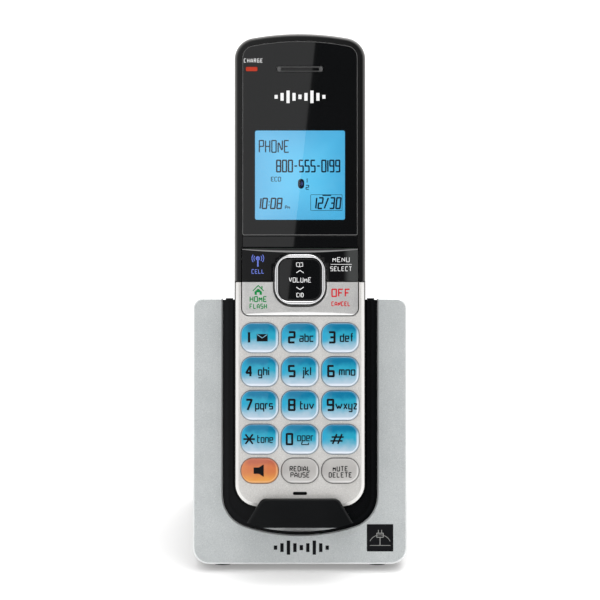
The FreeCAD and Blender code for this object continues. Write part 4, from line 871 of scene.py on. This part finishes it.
def make_earpiece():
    """The slot over the earpiece, sunk in a sloping surround."""
    face = Extent("display_lens").front
    ear = Extent("earpiece_surround")
    outer = round_box(ear.across, ear.up, ear.width / 2, ear.height / 2, 0.9, 5)
    rim = round_box(ear.across, ear.up, ear.width / 2 - 0.35, ear.height / 2 - 0.12, 0.8, 5)
    inner = round_box(ear.across, ear.up, 7.0, 0.5, 0.3, 5)
    shape = bmesh.new()
    loft(shape, [(outer, ear.back), (outer, face - 0.02), (rim, face), (inner, face - 0.75), (inner, face - 1.15)])
    finish_slopes(finished("earpiece_slot", mesh_of("earpiece_slot", shape), "handset", gloss_black,
                           ["earpiece_surround"], 20), slot_edge_highlight)


def make_screen_characters():
    """The characters that the screen shows."""
    screen = Extent("display_module")
    up, level = screen.up, screen.front
    strokes = letters("PHONE", -14.9, up + 10.6, 4.3, 0.44, 0.54, align=0.0, gap=1.05)
    strokes += letters("800-555-0199", 14.5, up + 3.4, 4.2, 0.54, 0.50, align=1.0, gap=1.08)
    strokes += letters("ECO", -8.8, up - 1.4, 1.5, 0.26, 0.9)
    strokes += letters("1", 2.6, up - 1.9, 1.5, 0.28) + letters("2", 2.7, up - 4.4, 1.5, 0.28)
    strokes += letters("10:08", -14.6, up - 10.3, 3.7, 0.52, 0.62, 0.10, 1.25, 0.0)
    strokes += letters("PM", -4.6, up - 11.7, 1.1, 0.24, 0.9)
    strokes += letters("12/30", 14.6, up - 10.2, 3.9, 0.56, 0.56, 0.10, 1.3, 1.0)
    strokes.append(([(3.9, up - 12.9), (15.4, up - 12.9), (15.4, up - 7.1), (3.9, up - 7.1)], True, 0.16))
    strokes += bars(0.5, (8.2, 11.4, up - 7.3))
    printed("screen_characters", strokes, "handset", screen_ink, level, 0.2, 0.02)
    up -= 3.1
    slab("screen_radio_badge", round_box(0.4, up, 1.15, 1.8, 1.15, 6), level + 0.002, level + 0.03, "handset",
         screen_ink)
    waves = lines(0.14, *(arc_points(0.1, up, radius, -60, 60) for radius in (0.35, 0.8)))
    printed("screen_radio_waves", waves, "handset", blue_ink, level + 0.03, 0.0, 0.02)


def emblem(across, up, tall, line):
    """A plain mark of rounded bars that rise and fall."""
    shares = (0.30, 0.62, 1.0, 0.62, 0.36, 0.62, 1.0, 0.62, 0.30)
    halves = [max(tall * share / 2, 0.2) for share in shares]
    return posts(line, *((across + (i - 4) * line * 1.9, up - half, up + half) for i, half in enumerate(halves)))


def make_window_print():
    lens, light = Extent("display_lens"), Extent("charge_light")
    words = letters("CHARGE", light.across + 0.6, light.up + 3.1, 1.3, 0.19, 0.74, gap=2.6)
    printed("window_words", words, "handset", white_ink, lens.front)
    printed("window_emblem", emblem(lens.across, lens.up + 15.15, 4.6, 1.15), "handset", white_ink, lens.front)


# ---- the keys ----

def mark_insets(mesh, key, half_across, half_up, corner):
    """Store how far inside the cap's outline each point lies, in millimetres."""
    marks = mesh.attributes.new("inset", "FLOAT", "POINT")
    for vertex, mark in zip(mesh.vertices, marks.data):
        across = abs(vertex.co.x / MILLIMETRE - key.across) - half_across + corner
        up = abs(vertex.co.dot(UP) / MILLIMETRE - SEAT_HEIGHT - key.up) - half_up + corner
        outside = math.hypot(max(across, 0.0), max(up, 0.0)) + min(max(across, up), 0.0)
        mark.value = corner - outside


def make_key(name, finish, corner, legend):
    """A pillowed keycap on its flange, and what is printed on it."""
    key = Extent(name)
    flange_reach, flange_thickness, flange_corner = 0.38, 1.0, corner - 1.4
    dome, round_by = 0.16, 0.85
    half_across = key.width / 2 - flange_reach
    half_up = key.height / 2 - flange_reach
    flat_up = half_up - round_by

    def ring(grown, ring_corner, level):
        return round_box(key.across, key.up, half_across + grown, half_up + grown, ring_corner), level

    rings = [ring(flange_reach, flange_corner, key.back),
             ring(flange_reach, flange_corner, key.back + flange_thickness),
             ring(0, corner, key.back + flange_thickness), ring(0, corner, key.front - dome - round_by)]
    for step in range(1, 8):
        angle = math.pi / 2 * step / 7
        inset = round_by * (1 - math.cos(angle))
        rings.append(ring(-inset, corner - inset, key.front - dome - round_by * (1 - math.sin(angle))))
    for share in (0.82, 0.62, 0.42, 0.22, 0.06):
        inset = round_by + flat_up * (1 - share)
        rings.append(ring(-inset, corner - inset, key.front - dome * share ** 2))
    shape = bmesh.new()
    loft(shape, rings)
    mesh = mesh_of(name + "_cap", shape)
    layout = mesh.uv_layers.new(name="keycap")
    for loop in mesh.loops:
        point = mesh.vertices[loop.vertex_index].co / MILLIMETRE
        layout.data[loop.index].uv = ((point.x - key.across) / (half_across * 2) + 0.5,
                                      (point.dot(UP) - SEAT_HEIGHT - key.up) / (half_up * 2) + 0.5)
    mark_insets(mesh, key, half_across, half_up, corner)
    finished(name + "_cap", mesh, name, finish, [name], 35)

    def surface(across, up):
        inset = min(half_across - abs(across - key.across), half_up - abs(up - key.up))
        share = 1 - (inset - round_by) / flat_up
        return key.front - dome * max(min(share, 1.0), 0.0) ** 2

    printed(name + "_legend", legend(key.across, key.up), name, black_ink, surface)


def dial_legend(digit, word, digit_shift, word_shift, word_squeeze):
    def strokes(across, up):
        return (letters(digit, across + digit_shift, up + 0.15, 3.75, 0.76, 0.80)
                + letters(word, across + word_shift, up + 0.1, 2.85, 0.44, word_squeeze, gap=1.4))
    return strokes


def one_legend(across, up):
    envelope = bars(0.36, *((across - 1.1, across + 2.9, up - 1.15 + line * 0.33) for line in range(8)))
    return letters("1", across - 3.9, up + 0.15, 3.75, 0.86) + envelope


def star_legend(across, up):
    x = across - 3.85
    star = lines(0.62, [(x - 2.1, up), (x + 2.1, up)], [(x - 1.35, up - 1.75), (x + 1.35, up + 1.75)],
                 [(x - 1.35, up + 1.75), (x + 1.35, up - 1.75)])
    return star + letters("tone", across + 2.0, up + 0.1, 2.7, 0.36, 0.76, gap=1.25)


def zero_legend(across, up):
    space = lines(0.34, [(across + 0.6, up - 1.3), (across + 0.6, up - 2.0), (across + 3.1, up - 2.0),
                         (across + 3.1, up - 1.3)])
    return (letters("0", across - 3.85, up, 3.75, 0.74, 0.80)
            + letters("oper", across + 1.95, up + 0.75, 2.7, 0.36, 0.80, gap=1.25) + space)


def hash_legend(across, up):
    return (lines(0.62, *([(across - 1.8 + shift, up - 1.75), (across - 0.3 + shift, up + 1.85)]
                          for shift in (-1.0, 0.9)))
            + bars(0.58, *((across - 3.4 + shift * 0.3, across + 1.0 + shift * 0.3, up + shift)
                           for shift in (-0.65, 0.75))))


def speaker_legend(across, up):
    box = posts(0.42, *((across - 2.0 + line * 0.36, up - 1.15, up + 1.15) for line in range(5)))
    horn = posts(0.36, *((across - 0.2 + line * 0.3, up - 1.2 - line * 0.19, up + 1.2 + line * 0.19)
                         for line in range(6)))
    return box + horn


def two_words(first, second):
    def strokes(across, up):
        return (letters(first, across, up + 0.70, 1.65, 0.32, 0.80, gap=2.1)
                + letters(second, across, up - 1.55, 1.65, 0.32, 0.80, gap=2.1))
    return strokes


def make_keys():
    for digit, name, word, digit_shift, word_shift, squeeze in (
            ("2", "two", "abc", -3.0, 2.4, 0.84), ("3", "three", "def", -3.1, 2.3, 0.84),
            ("4", "four", "ghi", -3.9, 1.4, 0.84), ("5", "five", "jkl", -3.0, 2.4, 0.84),
            ("6", "six", "mno", -3.4, 2.5, 0.90), ("7", "seven", "pqrs", -3.9, 1.6, 0.80),
            ("8", "eight", "tuv", -3.0, 2.6, 0.80), ("9", "nine", "wxyz", -3.6, 2.2, 0.80)):
        make_key("key_" + name, blue_key, 4.0,
                 dial_legend(digit, word, digit_shift, word_shift, squeeze))
    envelope = Extent("key_one")
    flap = lines(0.24, [(envelope.across + across, envelope.up + up)
                        for across, up in ((-0.9, 1.15), (0.9, -0.1), (2.7, 1.15))])
    printed("key_one_flap", flap, "key_one", pale_blue_ink, envelope.front + 0.03)
    for name, legend in (("one", one_legend), ("star", star_legend), ("zero", zero_legend), ("hash", hash_legend)):
        make_key("key_" + name, blue_key, 4.0, legend)
    make_key("key_speaker", orange_key, 4.3, speaker_legend)
    make_key("key_redial_pause", clear_key, 4.3, two_words("REDIAL", "PAUSE"))
    make_key("key_mute_delete", clear_key, 4.3, two_words("MUTE", "DELETE"))


# ---- the rocking keys and the navigation key ----

def rocker_outline(rocker, ring, upper):
    """Half of the cluster: a plain end, two corners and a notch that goes round the navigation ring."""
    gap, corner = 0.5, 2.6
    half = rocker.width / 2 - ROCKER_GAP
    notch = ring.width / 2 + gap
    notch_corner = 6.5 + gap
    if upper:
        inner, reach, side = rocker.low, ring.high + gap, 1
        outer_end = [(half, rocker.high), (-half, rocker.high)]
    else:
        inner, reach, side = rocker.high, ring.low - gap - 0.4, -1
        outer_end = (arc_points(half - corner, rocker.low + corner, corner, 0, -90, 8)
                     + arc_points(corner - half, rocker.low + corner, corner, -90, -180, 8))
    deep = reach - side * notch_corner
    return ([(half, inner)] + outer_end + [(-half, inner), (-notch, inner)]
            + arc_points(notch_corner - notch, deep, notch_corner, side * 180, side * 90, 12)
            + arc_points(notch - notch_corner, deep, notch_corner, side * 90, 0, 12) + [(notch, inner)])


def make_rocker(name, finish, upper):
    """A rocking key whose face is scooped: a bevel along its outer end is widest in the middle."""
    rocker = Extent(name)
    half = rocker.width / 2 - ROCKER_GAP
    foot, slices, slice_length = -1.8, 28, 0.35

    def surface(across, up):
        share = max(0.0, 1 - (across / half) ** 2)
        band = SCOOP_EDGE + SCOOP_RISE * share
        from_end = rocker.high - up if upper else up - rocker.low
        slope = max(0.0, band - from_end) / band
        return rocker.front - 0.55 * slope ** 1.5 * (0.35 + 0.65 * share)

    shape = bmesh.new()
    shape.faces.new([shape.verts.new((*point, 0)) for point in rocker_outline(rocker, Extent("nav_ring"), upper)])
    cuts = [((-half + half * 2 * step / slices, 0, 0), (1, 0, 0)) for step in range(1, slices)]
    cuts += [((0, rocker.low + step * slice_length, 0), (0, 1, 0))
             for step in range(1, int((rocker.high - rocker.low) / slice_length))]
    for point, normal in cuts:
        everything = shape.verts[:] + shape.edges[:] + shape.faces[:]
        bmesh.ops.bisect_plane(shape, geom=everything, plane_co=point, plane_no=normal)
    bmesh.ops.recalc_face_normals(shape, faces=shape.faces)
    if shape.faces[:][0].normal.z < 0:
        bmesh.ops.reverse_faces(shape, faces=shape.faces)
    drawn = bmesh.ops.extrude_face_region(shape, geom=shape.faces[:])
    top = {item for item in drawn["geom"] if isinstance(item, bmesh.types.BMVert)}
    for vertex in shape.verts:
        vertex.co.z = surface(vertex.co.x, vertex.co.y) if vertex in top else foot
    bmesh.ops.recalc_face_normals(shape, faces=shape.faces)
    rim = [edge for edge in shape.edges if len(edge.link_faces) == 2 and all(vertex in top for vertex in edge.verts)
           and any(abs(face.normal.z) < 0.3 for face in edge.link_faces)
           and any(abs(face.normal.z) > 0.5 for face in edge.link_faces)]
    bmesh.ops.bevel(shape, geom=rim, offset=0.28, segments=3, profile=0.5, affect="EDGES", clamp_overlap=True)
    for vertex in shape.verts:
        vertex.co = place(*vertex.co)
    finished(name + "_cap", mesh_of(name + "_cap", shape), name, finish, [name], 50)
    return surface


def make_ring():
    """The chromed frame round the navigation pad, a smooth arch in section."""
    ring = Extent("nav_ring")
    section = [(0.0, -1.9), (0.0, 0.35), (0.07, 0.68), (0.24, 0.94), (0.48, 1.07), (0.74, 1.10), (1.0, 1.05),
               (1.22, 0.90), (1.40, 0.66), (1.52, 0.36), (1.58, 0.0), (1.6, -0.5), (1.6, -1.9)]
    shape = bmesh.new()
    tube(shape, [(round_box(ring.across, ring.up, ring.width / 2 - inset, ring.height / 2 - inset,
                            6.5 - inset * 1.94, 12), level) for inset, level in section])
    finished("navigation_ring", mesh_of("navigation_ring", shape), "navigation_key", chrome,
             ["nav_ring"], 60)


def cell_strokes(up):
    """A small aerial between waves, over its word."""
    across, tip = -15.4, up + 7.69
    mast = posts(0.5, (across, up + 4.69, up + 7.29)) + lines(0.75, arc_points(across, tip, 0.42, 0, 360))
    waves = lines(0.26, *(arc_points(across, tip, radius, *turn) for radius in (1.45, 2.15)
                          for turn in ((-38, 38), (142, 218))))
    return mast + waves + letters("CELL", across, up + 2.89, 1.4, 0.24, 0.8, gap=2.0)


def home_strokes(up):
    """A small house with a chimney and a door, over its words."""
    across = -15.25
    house = lines(0.36, [(across - 1.95, up - 4.21), (across, up - 2.21), (across + 1.95, up - 4.21)])
    house += posts(0.4, (across + 1.35, up - 3.51, up - 2.41))
    for line in range(7):
        y = up - 5.46 + line * 0.3
        reach = 1.35 - max(line - 3, 0) * 0.32
        if line < 3:
            house += bars(0.34, (across - reach, across - 0.5, y), (across + 0.5, across + reach, y))
        else:
            house += bars(0.34, (across - reach, across + reach, y))
    return (house + letters("HOME", across, up - 7.21, 1.8, 0.38, 0.86, gap=2.0)
            + letters("FLASH", across, up - 9.81, 1.6, 0.32, 0.74, gap=2.0))


def navigation_strokes(up):
    """An open book, an arrow, a word, an arrow and a word, from the top down."""
    book = lines(0.2, [(-1.3, up + 4.79), (-1.3, up + 6.09), (-0.15, up + 6.09), (-0.15, up + 4.59)],
                 [(-1.3, up + 4.79), (-0.15, up + 4.59), (1.0, up + 4.79)],
                 [(0.15, up + 6.09), (1.0, up + 6.09), (1.0, up + 4.79)])
    arrows = lines(0.26, [(-1.35, up + 2.39), (0, up + 3.29), (1.35, up + 2.39)],
                   [(-1.35, up - 2.81), (0, up - 3.71), (1.35, up - 2.81)])
    return (letters("VOLUME", 0, up - 0.21, 1.65, 0.22, 0.80, gap=1.9)
            + letters("CID", 0, up - 5.71, 1.35, 0.24, 0.8, gap=2.1) + arrows + book)


def make_cluster():
    upper = make_rocker("cell_menu_key", rocker_black, True)
    lower = make_rocker("home_off_key", silver_rocker, False)
    make_ring()
    pad = Extent("nav_pad")
    up = pad.up
    printed("cell_legend", cell_strokes(up), "cell_menu_key", blue_ink, upper)
    menu = letters("MENU", 15.0, up + 7.24, 1.6, 0.20, 1.0, gap=2.2)
    menu += letters("SELECT", 15.0, up + 3.89, 1.5, 0.20, 0.84, gap=2.1) + bars(0.16, (11.2, 18.9, up + 5.49))
    printed("menu_legend", menu, "cell_menu_key", white_ink, upper)
    printed("home_legend", home_strokes(up), "home_off_key", green_ink, lower)
    off = letters("OFF", 14.9, up - 4.91, 2.6, 0.50, 0.9, gap=2.0)
    off += letters("CANCEL", 14.9, up - 8.91, 1.45, 0.32, 0.72, gap=2.0)
    printed("off_legend", off, "home_off_key", red_ink, lower)
    printed("navigation_legend", navigation_strokes(up), "navigation_key", white_ink, pad.front)


# ---- details of the base ----

def make_microphone_shade():
    """A dark plate in the microphone's slot: painted shade for the depth of the opening."""
    around = Extent("keypad_frame")
    slab("microphone_gauze", round_box(around.across, around.low + 6.325, 2.52, 0.54, 0.5, 6), around.front - 1.5,
         around.front - 0.25, "handset", gloss_black)


def make_wires_tree():
    """Sweeps a wire along a path and repeats it in a row."""
    tree, given, put_out = geometry_tree(
        "Contact wires", [("Path", "Geometry"), ("Count", "Int"), ("Pitch", "Float"), ("Wire radius", "Float"),
                          ("Finish", "Material")], "Wires")
    section = add_node(tree, "GeometryNodeCurvePrimitiveCircle", Resolution=8, Radius=given["Wire radius"])
    sweep = add_node(tree, "GeometryNodeCurveToMesh", Curve=given["Path"], Profile_Curve=section.outputs[0],
                     Fill_Caps=True)
    pitch = add_node(tree, "ShaderNodeCombineXYZ", X=given["Pitch"])
    row = add_node(tree, "GeometryNodeMeshLine", Count=given["Count"], Offset=pitch.outputs[0])
    copies = add_node(tree, "GeometryNodeInstanceOnPoints", Points=row.outputs[0], Instance=sweep.outputs[0])
    put_out(copies.outputs[0], given["Finish"])
    return tree


def make_contact_wires():
    """The sprung wires in the telephone line socket."""
    low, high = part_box("line_jack")
    count, pitch, radius = 4, 1.02 * MILLIMETRE, 0.22 * MILLIMETRE
    start = (low.x + high.x) / 2 - pitch * (count - 1) / 2
    ceiling = low.z + 10.3 * MILLIMETRE
    curve = bpy.data.curves.new("contact_wire_path", "CURVE")
    curve.dimensions = "3D"
    spline = curve.splines.new("POLY")
    spline.points.add(2)
    for point, (depth, drop) in zip(spline.points, ((3.0, 0.0), (6.0, 1.2), (8.8, 3.4))):
        point.co = (start, high.y - depth * MILLIMETRE, ceiling - drop * MILLIMETRE, 1)
    mesh = grown_mesh("line_contact_wires", curve, make_wires_tree(), Count=count, Pitch=pitch, Wire_radius=radius,
                      Finish=gilt)
    finished("line_contact_wires", mesh, "base", gilt)


def make_base_print():
    """A plain mark and a plain square badge on the faceplate."""
    plate = Extent("base_faceplate")
    printed("plate_emblem", emblem(0.5, plate.low + 6.0, 5.2, 1.25), "base", black_ink, plate.front)
    x, y = plate.right - 9.9, plate.low + 9.6
    face = plate.front + 0.045
    slab("plate_badge", round_box(x, y, 4.85, 5.0, 0.25, 3), plate.front + 0.003, face, "base", black_ink)
    sign = lines(0.2, arc_points(x, y - 3.0, 4.1, 25, 155, 16), [(x - 3.8, y - 2.8), (x + 3.8, y - 2.8)])
    sign += posts(0.3, (x, y - 2.8, y + 0.2)) + posts(0.26, (x - 0.6, y + 1.7, y + 2.9), (x + 0.6, y + 1.7, y + 2.9))
    sign.append(([(x - 1.2, y + 0.2), (x + 1.2, y + 0.2), (x + 1.2, y + 1.7), (x - 1.2, y + 1.7)], True, 0.3))
    printed("plate_badge_sign", sign, "base", grey_ink, face)


make_window()
make_earpiece()
make_screen_characters()
make_window_print()
make_keys()
make_cluster()
make_microphone_shade()
make_contact_wires()
make_base_print()


# ---- the studio ----

def make_floor():
    mesh = bpy.data.meshes.new("floor")
    reach = 12.0
    mesh.from_pydata([(-reach, -reach, 0), (reach, -reach, 0), (reach, reach, 0), (-reach, reach, 0)], [],
                     [(0, 1, 2, 3)])
    floor = bpy.data.objects.new("floor", mesh)
    bpy.context.scene.collection.objects.link(floor)
    made = Finish("pale floor", base_color=(0.95, 0.95, 0.95), roughness=0.9, specular_ior_level=0.1,
                  emission_color=(1.0, 0.99, 0.98), emission_strength=0.26)
    mesh.materials.append(made.material)


# the camera looks at the middle of the handset and its base; REFLECTION_UP is where the panel's edge crosses the window
MIDDLE_UP = 77.4
REFLECTION_UP = 134.3
DISTANCE = 1.6
VIEW_WIDTH = 0.2192
SENSOR = 36
ELEVATION = math.radians(18)
TARGET = place(0, MIDDLE_UP, 0)
TOWARDS = Vector((0, -math.cos(ELEVATION), math.sin(ELEVATION)))


def make_camera():
    settings = bpy.data.cameras.new("camera")
    settings.sensor_width = SENSOR
    settings.lens = SENSOR * DISTANCE / VIEW_WIDTH
    settings.clip_end = 50
    camera = bpy.data.objects.new("camera", settings)
    bpy.context.scene.collection.objects.link(camera)
    camera.location = TARGET + TOWARDS * DISTANCE
    camera.rotation_euler = (-TOWARDS).to_track_quat("-Z", "Y").to_euler()
    bpy.context.scene.camera = camera


def make_world():
    """A white studio, with the room behind the camera kept dark."""
    world = bpy.data.worlds.new("studio")
    bpy.context.scene.world = world
    world.use_nodes = True
    tree = world.node_tree
    direction = tree.nodes.new("ShaderNodeTexCoord").outputs["Generated"]
    mirrored = math.radians(22)
    facing = facing_share(direction, (0, -math.cos(mirrored), math.sin(mirrored)))
    dark = ramp_between(facing, math.cos(math.radians(30)), math.cos(math.radians(14)))
    colour = mix_colour(dark, (1.0, 1.0, 1.0), (0.08, 0.085, 0.09))
    set_sockets(tree.nodes["Background"], {"Color": colour, "Strength": 0.92})


def add_panel(name, location, target, width, height, power, roll=0.0):
    settings = bpy.data.lights.new(name, "AREA")
    settings.shape = "RECTANGLE"
    settings.size, settings.size_y = width, height
    settings.energy = power
    panel = bpy.data.objects.new(name, settings)
    bpy.context.scene.collection.objects.link(panel)
    panel.location = location
    aim = (Vector(target) - Vector(location)).to_track_quat("-Z", "Y").to_euler()
    panel.rotation_euler = aim
    panel.rotation_euler.rotate_axis("Z", roll)


def make_lights():
    """A soft panel beside the camera, whose slanting edge shows in the window, and one overhead."""
    centre = place(0, REFLECTION_UP, 0)
    to_camera = (TARGET + TOWARDS * DISTANCE - centre).normalized()
    mirrored = OUT * 2 * OUT.dot(to_camera) - to_camera
    width, height, radiance, away = 0.55, 0.9, 0.74, 1.5
    slant = math.radians(6.1)
    edge_shift = 0.0031
    middle = centre + mirrored * away + Vector((edge_shift - width / 2 / math.cos(slant), 0, 0))
    add_panel("window_panel", middle, middle - mirrored, width, height, radiance * width * height * math.pi, -slant)
    add_panel("overhead_panel", (0.25, 0.35, 1.3), (0, 0, 0.08), 1.0, 1.0, 9.0)


make_floor()
make_camera()
make_world()
make_lights()
bpy.context.scene.view_settings.view_transform = "Standard"
